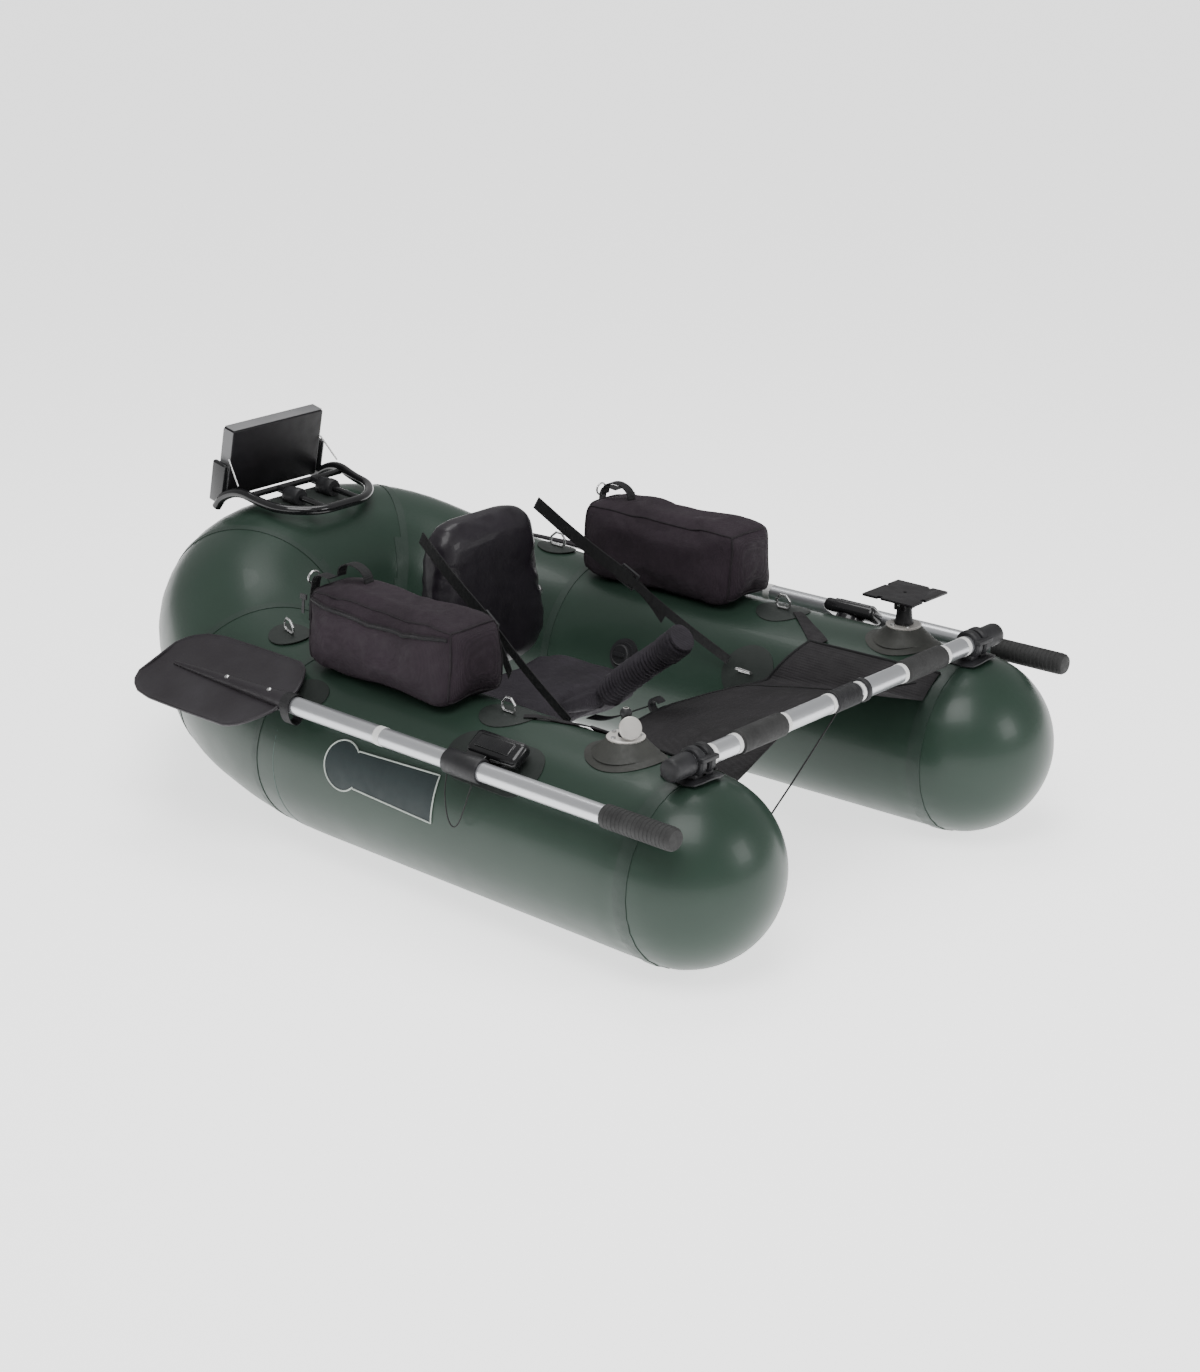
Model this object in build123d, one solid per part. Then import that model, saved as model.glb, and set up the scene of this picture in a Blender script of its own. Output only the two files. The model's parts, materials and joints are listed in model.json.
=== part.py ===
from build123d import *
import math
import os

# Fishing belly boat with a pair of oars. Millimetres, +X to the open bow, +Y to port, +Z up,
# z = 0 is the ground under the pontoons, the origin is below the middle of the whole boat.

# ---- hull: driving dimensions ----
TUBE_R = 160.0  # pontoon tube
STERN_R = 175.0  # fatter tube across the stern
QUARTER_R = 166.0  # tube radius at the bend between pontoon and stern
PVC = 1.0  # wall of the inflatable tubes
AFT_X = -214.0  # where the straight pontoon ends and the quarter begins
PONTOON_LENGTH = 859.0  # straight length, measured along X
AFT_Y = 351.0  # half the distance between the tube axes at AFT_X
SPLAY = 28.0  # how much further out each axis is at the nose
BEND = (-443.0, 296.0, 188.0)  # axis of the port tube at the first bend
STERN = (-630.0, 158.0, 274.0)  # axis of the port tube where the stern tube begins
NOSE_X = AFT_X + PONTOON_LENGTH
NOSE_Y = AFT_Y + SPLAY
SPLAY_ANGLE = math.degrees(math.atan2(SPLAY, PONTOON_LENGTH))
AXIS_LENGTH = math.hypot(PONTOON_LENGTH, SPLAY)
PATCH = 1.6  # reinforcement patches glued on the tubes
GAP = 0.4  # clearance between pieces that move past each other

# ---- front bar ----
BAR_X = NOSE_X + 15.0
BAR_R = 16.5
BAR_WALL = 1.5
BAR_Z = 2 * TUBE_R + 27.0
BAR_HALF = 445.0  # middle to the face of an end cap
CAP_LENGTH = 48.0
CAP_T = 3.0
CLAMP_Y = NOSE_Y - 4.0
CLAMP_RING_T = 8.5
CLAMP_RING_W = 15.0
CLAMP_RING_PITCH = 22.0
BAR_GRIP_T = 3.5
BAR_GRIP_IN = 165.0
BAR_GRIP_LENGTH = 114.0
WRAP_HALF = 34.0
WRAP_T = 3.0

# ---- mounts on the pontoon noses ----
MOUNT_X = NOSE_X - 132.0
MOUNT_R = 70.0
MOUNT_TOP_R = 30.0
MOUNT_RISE = 27.0
FLANGE_T = 3.0
NECK_R = 17.0
TRAY_Z = 2 * TUBE_R + 88.0
TRAY_SIDE = 108.0
TRAY_T = 5.0
BARREL_R = 12.0
BARREL_W = 22.0
EAR_T = 5.0
HINGE_PIN_R = 3.0
RUNNING = 0.05
POST_R = 7.0
POST_TOP = 44.0
KNOB_R = 19.0
KNOB_T = 6.0

# ---- oars ----
OAR_ANGLE = 39.4  # place of the oar round the tube, from level
OAR_STANDOFF = 38.0  # tube surface to oar axis
OAR_R = 16.0
OAR_WALL = 1.3
GRIP_R = 19.0
GRIP_LENGTH = 145.0
ROWLOCK_X = NOSE_X - 341.0
OAR_FORE = 453.0  # rowlock to the end of the handle
OAR_AFT = 436.0  # rowlock to the blade
SHAFT_JOINT_AFT = 196.0  # rowlock to the joint of the two shaft tubes
SPIGOT = 60.0
BLADE_LENGTH = 345.0
BLADE_W = 190.0
BLADE_T = 6.0
BLADE_TILT = 20.5  # blade from level, outer edge down
SWIVEL_ANGLE = 54.5  # place of the rowlock's pin round the tube
SWIVEL_AHEAD = 28.0  # oar sleeve to the pin, along the boat
SWIVEL_BASE = 9.0  # top of the fixed base above the tube
SWIVEL_BASE_R = 27.0
PIN_R = 9.0
SLEEVE_T = 5.0
SLEEVE_LENGTH = 78.0
ROWLOCK_PAD = (205.0, 96.0)
ROWLOCK_BODY = (112.0, 46.0, 34.0)
KEEPER_X = -134.0
KEEPER_ANGLE = 52.0

# ---- seat ----
SEAT_BACK_X = -128.0
SEAT_LENGTH = 243.0
SEAT_BOTTOM = 166.0
SEAT_TOP = 222.0
BACK_T = 75.0
BACK_BOTTOM = 186.0
BACK_TOP = 523.0
BACK_HALF_TOP = 136.0
BACK_HALF_LOW = 172.0
BACK_LOW_Z = 255.0
SLEEVE_START = (142.0, 0.0, 227.5)
CROTCH_ANGLE = 40.3
CROTCH_LENGTH = 225.0
CROTCH_R = 27.0
WEBBING = 25.0
WEB_T = 1.6
SKIN = 4.0  # padded skin of the seat and the backrest

# ---- bags ----
BAG_AFT_X = -195.0
BAG_LENGTH = 388.0
BAG_TOP_W = 142.0
BAG_LOW_W = 164.0
BAG_HEIGHT = 152.0
BAG_WALL = 3.0
BAG_CLEAR = 1.5

# ---- motor board on the stern ----
BOARD_W = 232.0
BOARD_H = 140.0
BOARD_T = 30.0
BOARD_RAKE = 12.0  # top leans towards the bow
FRAME_R = 9.0
FRAME_HALF = 116.0
LUG_Y = 43.0
LUG_R = 19.0
LUG_LENGTH = 38.0
ROD_R = 6.0

# ---- apron ----
APRON_T = 1.6
APRON_AFT = 294.0
APRON_FORE = NOSE_X - 3.0
APRON_Z = 236.0  # slack level between the tubes at the aft edge
APRON_FORE_Z = BAR_Z - BAR_R - 8.0  # under the bar
APRON_FLAT = 130.0  # half-width of its level middle
APRON_TOP_ANGLE = 63.0  # how far up the tubes it reaches

# ---- cords ----
BAR_CORD_R = 1.5
LOOP_CORD_R = 1.1


def unit(v):
    return v / v.length


def along_x(radius, length):
    """Cylinder along +X that starts at the origin."""
    return Rot(0, 90, 0) * Cylinder(radius, length, align=(Align.CENTER, Align.CENTER, Align.MIN))


def along_y(radius, length):
    """Cylinder along Y, centred."""
    return Rot(90, 0, 0) * Cylinder(radius, length)


def rod(start, end, radius):
    """Straight round bar between two points."""
    a, b = Vector(*start), Vector(*end)
    plane = Plane(origin=a, z_dir=unit(b - a))
    return extrude(plane * Circle(radius), amount=(b - a).length)


# Port pontoon frame: X runs along the tube axis from its aft end, Y is outboard, Z is up.
PORT = Location((AFT_X, AFT_Y, TUBE_R), (0, 0, SPLAY_ANGLE))


def station(x):
    """Distance along the pontoon axis of a place given by its X in the boat."""
    return (x - AFT_X) / math.cos(math.radians(SPLAY_ANGLE))


def tube_plane(x, angle, radius=TUBE_R):
    """Plane on the port tube; angle is 0 outboard, 90 on the crown, 180 inboard."""
    c, s = math.cos(math.radians(angle)), math.sin(math.radians(angle))
    return Plane(origin=(station(x), radius * c, radius * s), x_dir=(1, 0, 0), z_dir=(0, c, s))


def capsule(radius):
    """Port pontoon as a solid of the given radius, with its round nose."""
    body = along_x(radius, AXIS_LENGTH)
    return body + Pos(AXIS_LENGTH, 0, 0) * Sphere(radius)


def tube_patch(x, angle, outline, thick=PATCH):
    """Flat outline pressed on the tube as a patch that follows its curve."""
    column = extrude(tube_plane(x, angle) * outline, amount=TUBE_R / 3, both=True)
    return (capsule(TUBE_R + thick) - capsule(TUBE_R)) & column


def port(solid):
    return PORT * solid


def both(solid):
    """The port piece and its mirror image to starboard."""
    return Compound(children=[*solid.solids(), *mirror(solid, Plane.XZ).solids()])


def starboard(solid):
    return mirror(solid, Plane.XZ)


# ---------------------------------------------------------------- hull
def section(point, normal, direction, radius):
    """Mitred section of a tube that runs along direction, cut by the plane through point."""
    side = unit(direction.cross(Vector(0, 0, 1)))
    over = side.cross(direction)
    points = []
    for i in range(32):
        a = 2 * math.pi * i / 32
        p = side * (radius * math.cos(a)) + over * (radius * math.sin(a))
        points.append(point + p - direction * (p.dot(normal) / direction.dot(normal)))
    return Face(Wire(Spline(*points, periodic=True)))


def tube_panel(a, b, normal_a, normal_b, radius_a, radius_b):
    """Hollow tube panel between two mitre planes."""
    direction = unit(b - a)
    walls = []
    for inset in (0.0, PVC):
        near_end = section(a, normal_a, direction, radius_a - inset)
        far_end = section(b, normal_b, direction, radius_b - inset)
        walls.append(loft([near_end, far_end], ruled=True))
    return walls[0] - walls[1]


def hull_panels():
    """Quarter, corner and stern panels, from the pontoon's aft end round to the middle."""
    nose = Vector(NOSE_X, NOSE_Y, TUBE_R)
    aft = Vector(AFT_X, AFT_Y, TUBE_R)
    bend = Vector(*BEND)
    stern = Vector(*STERN)
    far = Vector(STERN[0], -STERN[1], STERN[2])
    d = [unit(aft - nose), unit(bend - aft), unit(stern - bend), unit(far - stern)]
    n = [unit(d[0] + d[1]), unit(d[1] + d[2]), unit(d[2] + d[3])]
    quarter = tube_panel(aft, bend, n[0], n[1], TUBE_R, QUARTER_R)
    corner = tube_panel(bend, stern, n[1], n[2], QUARTER_R, STERN_R)
    stern_mirror = Vector(n[2].X, -n[2].Y, n[2].Z) * -1
    middle = tube_panel(stern, far, n[2], stern_mirror, STERN_R, STERN_R)
    run_on = 60  # past the aft end, trimmed by the panel's mitre
    outside = Pos(-run_on, 0, 0) * along_x(TUBE_R, AXIS_LENGTH + run_on)
    inside = Pos(-run_on - 20, 0, 0) * along_x(TUBE_R - PVC, AXIS_LENGTH + run_on + 40)
    tube = PORT * (outside - inside)
    tube = split(tube, bisect_by=Plane(origin=aft, z_dir=n[0] * -1), keep=Keep.TOP)
    return tube, quarter, corner, middle


def nose_cap():
    ball = Sphere(TUBE_R) - Sphere(TUBE_R - PVC)
    half = split(ball, bisect_by=Plane.YZ, keep=Keep.TOP)
    return port(Pos(AXIS_LENGTH, 0, 0) * half)


def bulkhead():
    """Disc inside the tube that parts the pontoon's air chamber from the stern's."""
    return port(Pos(45, 0, 0) * along_x(TUBE_R - PVC, PVC))


# ---------------------------------------------------------------- valves and ring patches
VALVE_X = -3.0
VALVE_ANGLE = 159.5
VALVE_R = 24.0
CAP_R = 19.0
VALVE_ROOM = 24.0  # between a tube and the seat, for the valve and its cap


def valve_body():
    plane = tube_plane(VALVE_X, VALVE_ANGLE)
    flange = tube_patch(VALVE_X, VALVE_ANGLE, Circle(VALVE_R + 8), 2.0)
    seat = extrude(plane * Circle(VALVE_R), amount=7.0) - capsule(TUBE_R)
    return port(flange + seat)


def valve_cap():
    base = tube_plane(VALVE_X, VALVE_ANGLE, TUBE_R + 7.0 + GAP)
    disc = extrude(base * Circle(CAP_R), amount=8.0)
    disc = fillet(disc.edges().filter_by(GeomType.CIRCLE).sort_by(Axis((0, 0, 0), base.z_dir))[-1], 3.0)
    lip = extrude(base.offset(8.0) * RectangleRounded(26, 7, 3), amount=5.0)
    return port(disc + lip)


RING_SPOTS = ((250.0, 90.0, 50.0), (273.0, 149.8, 54.0))  # X, angle and patch radius
AFT_RING_T = 0.42  # aft ring patch, as a share of the way from the pontoon to the bend


AFT_RING_LIFT = 1.7  # glue line, over the step between the quarter panels


def aft_ring_plane(lift=0.0):
    """Plane on the crown of the quarter panel for its ring patch."""
    a, b = Vector(AFT_X, AFT_Y, TUBE_R), Vector(*BEND)
    axis = unit(b - a)
    radius = TUBE_R + (QUARTER_R - TUBE_R) * AFT_RING_T
    out = unit(Vector(0, 0.12, 1) - axis * Vector(0, 0.12, 1).dot(axis))
    spot = a + (b - a) * AFT_RING_T + out * (radius + lift)
    return Plane(origin=spot, x_dir=axis * -1, z_dir=out), radius, axis


def ring_patches():
    """The patches that carry the D-rings."""
    solids = []
    for x, angle, radius in RING_SPOTS:
        solids += port(tube_patch(x, angle, Circle(radius))).solids()
    plane, radius, axis = aft_ring_plane()
    centre = plane.origin - plane.z_dir * radius
    drum_plane = Plane(origin=centre - axis * 60, z_dir=axis)
    inner = radius + AFT_RING_LIFT
    band = extrude(drum_plane * (Circle(inner + PATCH) - Circle(inner)), amount=120)
    solids += (band & extrude(plane * Circle(38), amount=40, both=True)).solids()
    return both(Compound(children=solids))


def d_ring(plane, width=30.0, wire=2.2):
    """D-ring that stands on its patch, with the flat of the D on the patch."""
    half = width / 2
    foot = plane.origin + plane.z_dir * (PATCH + wire + 0.2)
    stand = Plane(origin=foot, x_dir=plane.x_dir, z_dir=plane.x_dir.cross(plane.z_dir))
    right = [(half - 4, 0), (half, 5), (half, 14), (half - 9, 24)]
    left = [(-x, y) for x, y in reversed(right)]
    path = stand * Polyline(*right, *left, close=True)
    profile = Plane(origin=path @ 0, z_dir=path % 0) * Circle(wire)
    return sweep(profile, path=path, transition=Transition.RIGHT)


def d_rings():
    solids = []
    for x, angle, _ in RING_SPOTS:
        solids += port(d_ring(tube_plane(x, angle))).solids()
    plane, _, _ = aft_ring_plane(AFT_RING_LIFT)
    solids += d_ring(plane).solids()
    return both(Compound(children=solids))


# ---------------------------------------------------------------- front bar
def front_bar():
    tube = along_y(BAR_R, 2 * BAR_HALF - 2 * CAP_T) - along_y(BAR_R - BAR_WALL, 2 * BAR_HALF)
    return Pos(BAR_X, 0, BAR_Z) * tube


def bar_end_cap():
    cap = along_y(BAR_R + CAP_T, CAP_LENGTH) - Pos(0, -CAP_T, 0) * along_y(BAR_R, CAP_LENGTH)
    cap = chamfer(cap.edges().filter_by(GeomType.CIRCLE).sort_by(Axis.Y)[-1], 2.0)
    return Pos(BAR_X, BAR_HALF - CAP_LENGTH / 2, BAR_Z) * cap


def bar_grip():
    foam = along_y(BAR_R + BAR_GRIP_T, BAR_GRIP_LENGTH) - along_y(BAR_R, BAR_GRIP_LENGTH)
    return Pos(BAR_X, BAR_GRIP_IN + BAR_GRIP_LENGTH / 2, BAR_Z) * foam


def bar_wrap():
    """Cord whipping on the middle of the bar, a row of turns."""
    turns = along_y(BAR_R + WRAP_T, 2 * WRAP_HALF) - along_y(BAR_R, 2 * WRAP_HALF)
    for i in range(6):
        y = -WRAP_HALF + 10 + i * (2 * WRAP_HALF - 20) / 5
        turns -= Pos(0, y, 0) * (along_y(BAR_R + WRAP_T + 1, 2.4) - along_y(BAR_R + WRAP_T - 1.2, 2.4))
    return Pos(BAR_X, 0, BAR_Z) * turns


def bar_clamp():
    """Two rubber rings on one foot, which hold the bar on the pontoon."""
    rings = None
    for side in (-0.5, 0.5):
        ring = Pos(0, side * CLAMP_RING_PITCH, 0) * along_y(BAR_R + CLAMP_RING_T, CLAMP_RING_W)
        rings = ring if rings is None else rings + ring
    foot_h = BAR_Z - 2 * TUBE_R
    foot = Pos(0, 0, -foot_h / 2 - 3) * Box(46, CLAMP_RING_PITCH + 8, foot_h + 6)
    body = rings + foot - along_y(BAR_R, 200)
    body = Pos(BAR_X, CLAMP_Y, BAR_Z) * body - port(capsule(TUBE_R))
    return body + port(tube_patch(BAR_X - 2, 91.5, RectangleRounded(92, 84, 14), PATCH + 1.2))


# ---------------------------------------------------------------- nose mounts
MOUNT_ANGLE = 90.0
KNOB_TURN = 31.0  # the lock knob's axis, from +X to port before it is mirrored
KNOB_RISE = 22.0


def mount_base():
    """Moulded rubber cone with a wide foot that follows the tube."""
    plane = tube_plane(MOUNT_X, MOUNT_ANGLE)
    foot = tube_patch(MOUNT_X, MOUNT_ANGLE, Ellipse(MOUNT_R, MOUNT_R - 8), 3.0)
    low = plane.offset(-16.0)
    cone = loft([low * Circle(MOUNT_R - 14), plane.offset(MOUNT_RISE) * Circle(MOUNT_TOP_R)])
    return port(foot + (cone - capsule(TUBE_R)))


def flange():
    """Metal ring on top of the rubber cone."""
    plane = tube_plane(MOUNT_X, MOUNT_ANGLE).offset(MOUNT_RISE)
    plate = extrude(plane * Circle(MOUNT_TOP_R), amount=FLANGE_T)
    bore = extrude(plane * Circle(8.0), amount=FLANGE_T)
    return port(plate - bore)


SCREW_HEAD_R = 4.0


def flange_screws():
    plane = tube_plane(MOUNT_X, MOUNT_ANGLE).offset(MOUNT_RISE + FLANGE_T)
    heads = []
    for i in range(1, 5):
        a = math.radians(KNOB_TURN + 72 * i)
        spot = plane * Pos(24 * math.cos(a), 24 * math.sin(a), 0)
        head = extrude(spot * Circle(SCREW_HEAD_R), amount=2.6)
        heads += port(head).solids()
    return both(Compound(children=heads))


BORE_R = 8.0
STEM_LENGTH = 22.0
NECK_FOOT = 2 * TUBE_R + MOUNT_RISE + FLANGE_T + GAP
MOUNT_Y = AFT_Y + SPLAY * (MOUNT_X - AFT_X) / PONTOON_LENGTH
BARREL_Z = TRAY_Z - TRAY_T - BARREL_R - 3.0


def neck():
    """Swivel post with a stem in the flange's bore and a barrel for the tray's hinge."""
    height = BARREL_Z - NECK_FOOT
    up = (Align.CENTER, Align.CENTER, Align.MIN)
    stem = Pos(0, 0, NECK_FOOT - STEM_LENGTH) * Cylinder(BORE_R - RUNNING, STEM_LENGTH, align=up)
    post = Pos(0, 0, NECK_FOOT) * Cylinder(NECK_R, height - 14, align=up)
    barrel = Pos(0, 0, BARREL_Z) * along_y(BARREL_R, BARREL_W)
    web = Pos(0, 0, BARREL_Z - 10) * Box(2 * BARREL_R - 2, BARREL_W, 20)
    body = post + barrel + web + stem
    body -= Pos(0, 0, BARREL_Z) * along_y(HINGE_PIN_R, 80)
    return Pos(MOUNT_X, MOUNT_Y, 0) * body


def neck_socket(base):
    """Cut the stem's hole in the cone."""
    up = (Align.CENTER, Align.CENTER, Align.MIN)
    hole = Pos(MOUNT_X, MOUNT_Y, NECK_FOOT - STEM_LENGTH - 2) * Cylinder(BORE_R, 40, align=up)
    return base - hole


def tray_pin():
    length = BARREL_W + 2 * EAR_T + 2 * GAP
    pin = Pos(0, 0, BARREL_Z) * along_y(HINGE_PIN_R, length + 3)
    head = Pos(0, length / 2 + 3, BARREL_Z) * along_y(HINGE_PIN_R + 2.5, 3)
    return Pos(MOUNT_X, MOUNT_Y, 0) * (pin + head)


def tray():
    """Instrument tray: a notched plate with two ears round the hinge pin."""
    square = RectangleRounded(TRAY_SIDE, TRAY_SIDE, 7)
    plate = Pos(0, 0, TRAY_Z - TRAY_T / 2) * extrude(square, amount=TRAY_T / 2, both=True)
    for turn in range(4):
        notch = Rot(0, 0, 90 * turn) * Pos(TRAY_SIDE / 2, -18, TRAY_Z) * Box(9, 8, 3 * TRAY_T)
        plate -= notch
    plate -= Pos(0, 0, TRAY_Z) * Cylinder(3.2, 4 * TRAY_T)
    ear_h = TRAY_Z - TRAY_T - BARREL_Z
    for side in (-1, 1):
        y = side * (BARREL_W / 2 + GAP + EAR_T / 2)
        ear = Pos(0, y, BARREL_Z) * along_y(BARREL_R - 2, EAR_T)
        ear += Pos(0, y, BARREL_Z + ear_h / 2) * Box(2 * BARREL_R - 4, EAR_T, ear_h)
        plate += ear
    plate -= Pos(0, 0, BARREL_Z) * along_y(HINGE_PIN_R + RUNNING, 80)
    return Pos(MOUNT_X, MOUNT_Y, 0) * plate


def rod_post():
    """Rod-holder post in the starboard mount, with a ball on top."""
    stem = Cylinder(8.0 - RUNNING, 22, align=(Align.CENTER, Align.CENTER, Align.MIN))
    post = Pos(0, 0, 22) * Cone(13.0, POST_R, 12, align=(Align.CENTER, Align.CENTER, Align.MIN))
    post += Pos(0, 0, 34) * Cylinder(POST_R, POST_TOP - 20, align=(Align.CENTER, Align.CENTER, Align.MIN))
    post += Pos(0, 0, POST_TOP + 16) * Sphere(POST_R + 3)
    return starboard(Pos(MOUNT_X, MOUNT_Y, NECK_FOOT - 22) * (stem + post))


def knob_plane():
    t, r = math.radians(KNOB_TURN), math.radians(KNOB_RISE)
    axis = Vector(math.cos(t) * math.cos(r), math.sin(t) * math.cos(r), math.sin(r))
    origin = Vector(MOUNT_X, MOUNT_Y, 2 * TUBE_R + MOUNT_RISE + FLANGE_T + 11) + axis * 24
    return Plane(origin=origin, z_dir=axis)


def lock_boss():
    """Boss on the starboard flange that the lock screw turns in."""
    plane = knob_plane()
    boss = extrude(plane.offset(-7) * Circle(7.5), amount=7)
    flange_top = 2 * TUBE_R + MOUNT_RISE + FLANGE_T
    foot = Pos(MOUNT_X, MOUNT_Y, flange_top + 8) * Rot(0, 0, KNOB_TURN) * Pos(20, 0, 0) * Box(8, 13, 16)
    return starboard(boss + foot - extrude(plane.offset(-20) * Circle(3.0 + RUNNING), amount=40))


def lock_knob():
    plane = knob_plane()
    disc = extrude(plane.offset(GAP + 1) * Circle(KNOB_R), amount=KNOB_T)
    disc = fillet(disc.edges().filter_by(GeomType.CIRCLE), 2.0)
    stem = extrude(plane.offset(-8) * Circle(3.0), amount=14)
    return starboard(disc + stem)


# ---------------------------------------------------------------- oars
OAR_Y = (TUBE_R + OAR_STANDOFF) * math.cos(math.radians(OAR_ANGLE))
OAR_UP = (TUBE_R + OAR_STANDOFF) * math.sin(math.radians(OAR_ANGLE))
PIVOT = (station(ROWLOCK_X), OAR_Y, OAR_UP)


def on_oar(solid, x):
    """Place a piece, modelled on +X, on the oar's axis at x from the rowlock."""
    return port(Pos(PIVOT[0] + x, PIVOT[1], PIVOT[2]) * solid)


def oar_shaft_rear():
    tube = along_x(OAR_R, OAR_AFT - SHAFT_JOINT_AFT) - along_x(OAR_R - OAR_WALL, OAR_AFT)
    return on_oar(tube, -OAR_AFT)


def oar_shaft_front():
    """Front tube with a spigot that plugs into the rear one."""
    length = SHAFT_JOINT_AFT + OAR_FORE - GRIP_LENGTH / 2
    bore = OAR_R - OAR_WALL
    tube = along_x(OAR_R, length) - Pos(SPIGOT, 0, 0) * along_x(bore, length)
    tube += Pos(-SPIGOT, 0, 0) * along_x(bore, SPIGOT)
    tube -= Pos(-SPIGOT - 5, 0, 0) * along_x(bore - OAR_WALL, 2 * SPIGOT + 5)
    return on_oar(tube, -SHAFT_JOINT_AFT)


def oar_grip():
    foam = along_x(GRIP_R, GRIP_LENGTH) - Pos(-1, 0, 0) * along_x(OAR_R, GRIP_LENGTH / 2 + 1)
    foam = fillet(foam.edges().filter_by(GeomType.CIRCLE).sort_by(Axis.X)[-1], 9.0)
    return on_oar(foam, OAR_FORE - GRIP_LENGTH)


BLADE_BOLTS = ((-36.0, OAR_R + 1.0), (-150.0, 14.0))  # place along the spine, half length
BOLT_R = 4.0


def blade_bolt_set():
    return [Pos(x, 0, 0) * Cylinder(BOLT_R, 2 * half) for x, half in BLADE_BOLTS]


def oar_blade():
    """Moulded blade: a flat paddle with a raised spine and a tang that plugs into the shaft."""
    half = BLADE_W / 2
    tip = -BLADE_LENGTH
    right = [(0, 15), (-42, half - 8), (-58, half)]
    right += [(tip + 76, half), (tip + 16, half * 0.80), (tip, half * 0.45)]
    left = [(x, -y) for x, y in reversed(right)]
    plate = extrude(make_face(Polyline(*right, *left, close=True)), amount=BLADE_T / 2, both=True)
    thin = Plane(origin=(tip * 0.86, 0, 0), z_dir=(1, 0, 0)) * Ellipse(6.0, 4.5)
    thick = Plane(origin=(0, 0, 0), z_dir=(1, 0, 0)) * Circle(OAR_R + 1.0)
    blade = plate + loft([thin, thick]) + along_x(OAR_R - OAR_WALL, 50)
    for bolt in blade_bolt_set():
        blade -= bolt
    return on_oar(Rot(-BLADE_TILT, 0, 0) * blade, -OAR_AFT)


def oar_bolts():
    """Bolts through the blade's spine."""
    placed = [Rot(-BLADE_TILT, 0, 0) * bolt for bolt in blade_bolt_set()]
    return group(*[on_oar(bolt, -OAR_AFT) for bolt in placed])


SWIVEL = tube_plane(ROWLOCK_X + SWIVEL_AHEAD, SWIVEL_ANGLE)
SWIVEL_FLOOR = PATCH + 1.0  # foot of the pin above the tube


def rowlock_sleeve():
    """Swivelling rowlock: the oar's sleeve, the rounded body beside it and the pin under the body."""
    inner = OAR_R + 0.3
    length, width, height = ROWLOCK_BODY
    under = SWIVEL_BASE + GAP
    sleeve = Pos(PIVOT[0] - SLEEVE_LENGTH / 2, PIVOT[1], PIVOT[2]) * along_x(inner + SLEEVE_T, SLEEVE_LENGTH)
    body = extrude(SWIVEL.offset(under) * RectangleRounded(length, width, 16), amount=height - under)
    body = fillet(body.faces().sort_by(Axis((0, 0, 0), SWIVEL.z_dir))[-1].edges(), 12.0)
    web_plane = SWIVEL.offset(under + 8)
    web = extrude(web_plane * Pos(-SWIVEL_AHEAD, -width / 2 - 8) * Rectangle(44, 36), amount=10)
    pin = extrude(SWIVEL.offset(SWIVEL_FLOOR + 0.3) * Circle(PIN_R - RUNNING), amount=SWIVEL_BASE)
    bore = Pos(PIVOT[0] - SLEEVE_LENGTH, PIVOT[1], PIVOT[2]) * along_x(inner, 2 * SLEEVE_LENGTH)
    return port(sleeve + body + web + pin - bore)


def rowlock_base():
    """Round base on the pad, with the bore in which the rowlock's pin turns."""
    disc = extrude(SWIVEL.offset(-6) * Circle(SWIVEL_BASE_R), amount=SWIVEL_BASE + 6)
    disc -= capsule(TUBE_R + PATCH)
    disc -= extrude(SWIVEL.offset(SWIVEL_FLOOR) * Circle(PIN_R), amount=40)
    return port(disc)


def rowlock_pad():
    length, width = ROWLOCK_PAD
    return port(tube_patch(ROWLOCK_X + 14, 50.0, SlotOverall(length, width)))


def keeper_pad():
    return port(tube_patch(KEEPER_X, KEEPER_ANGLE, Ellipse(42, 30)))


# ---------------------------------------------------------------- seat
def cushion_block(inset):
    half = AFT_Y - TUBE_R - VALVE_ROOM - inset
    height = SEAT_TOP - SEAT_BOTTOM - 2 * inset
    block = Box(SEAT_LENGTH - 2 * inset, 2 * half, height, align=(Align.MIN, Align.CENTER, Align.MIN))
    block = fillet(block.edges().filter_by(Axis.Z), 20.0 - inset)
    block = fillet(block.faces().sort_by(Axis.Z)[-1].edges(), 14.0 - inset)
    return Pos(SEAT_BACK_X + inset, 0, SEAT_BOTTOM + inset) * block


def seat_cushion():
    """Inflatable seat cushion, a closed skin with air inside."""
    return cushion_block(0.0) - cushion_block(SKIN)


def backrest_block(inset):
    back_x = SEAT_BACK_X - GAP - BACK_T + inset
    plane = Plane(origin=(back_x, 0, 0), x_dir=(0, 1, 0), z_dir=(1, 0, 0))
    low, top = BACK_HALF_LOW - inset, BACK_HALF_TOP - inset
    outline = Polyline((-low + 14, BACK_BOTTOM + inset), (low - 14, BACK_BOTTOM + inset), (low, BACK_LOW_Z),
                       (top, BACK_TOP - inset), (-top, BACK_TOP - inset), (-low, BACK_LOW_Z), close=True)
    pad = extrude(plane * make_face(outline), amount=BACK_T - 2 * inset)
    pad = fillet(pad.edges().filter_by(Axis.X).sort_by(Axis.Z)[-2:], 34.0 - inset)
    pad = fillet(pad.edges().filter_by(Axis.X).sort_by(Axis.Z)[:2], 16.0)
    return fillet(pad.faces().sort_by(Axis.X)[-1].edges(), 9.0 - inset)


def backrest():
    """Thick inflatable backrest, wider at the seat than at the top."""
    return backrest_block(0.0) - backrest_block(SKIN)


def crotch_sleeve():
    """Padded strap sleeve that rises between the legs."""
    body = along_x(CROTCH_R, CROTCH_LENGTH)
    body = fillet(body.edges().filter_by(GeomType.CIRCLE).sort_by(Axis.X)[0], 12.0)
    return Pos(*SLEEVE_START) * Rot(0, -CROTCH_ANGLE, 0) * body


CLIP_AT = (APRON_AFT - 34.0, 0.0, APRON_Z + 1.0)


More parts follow.
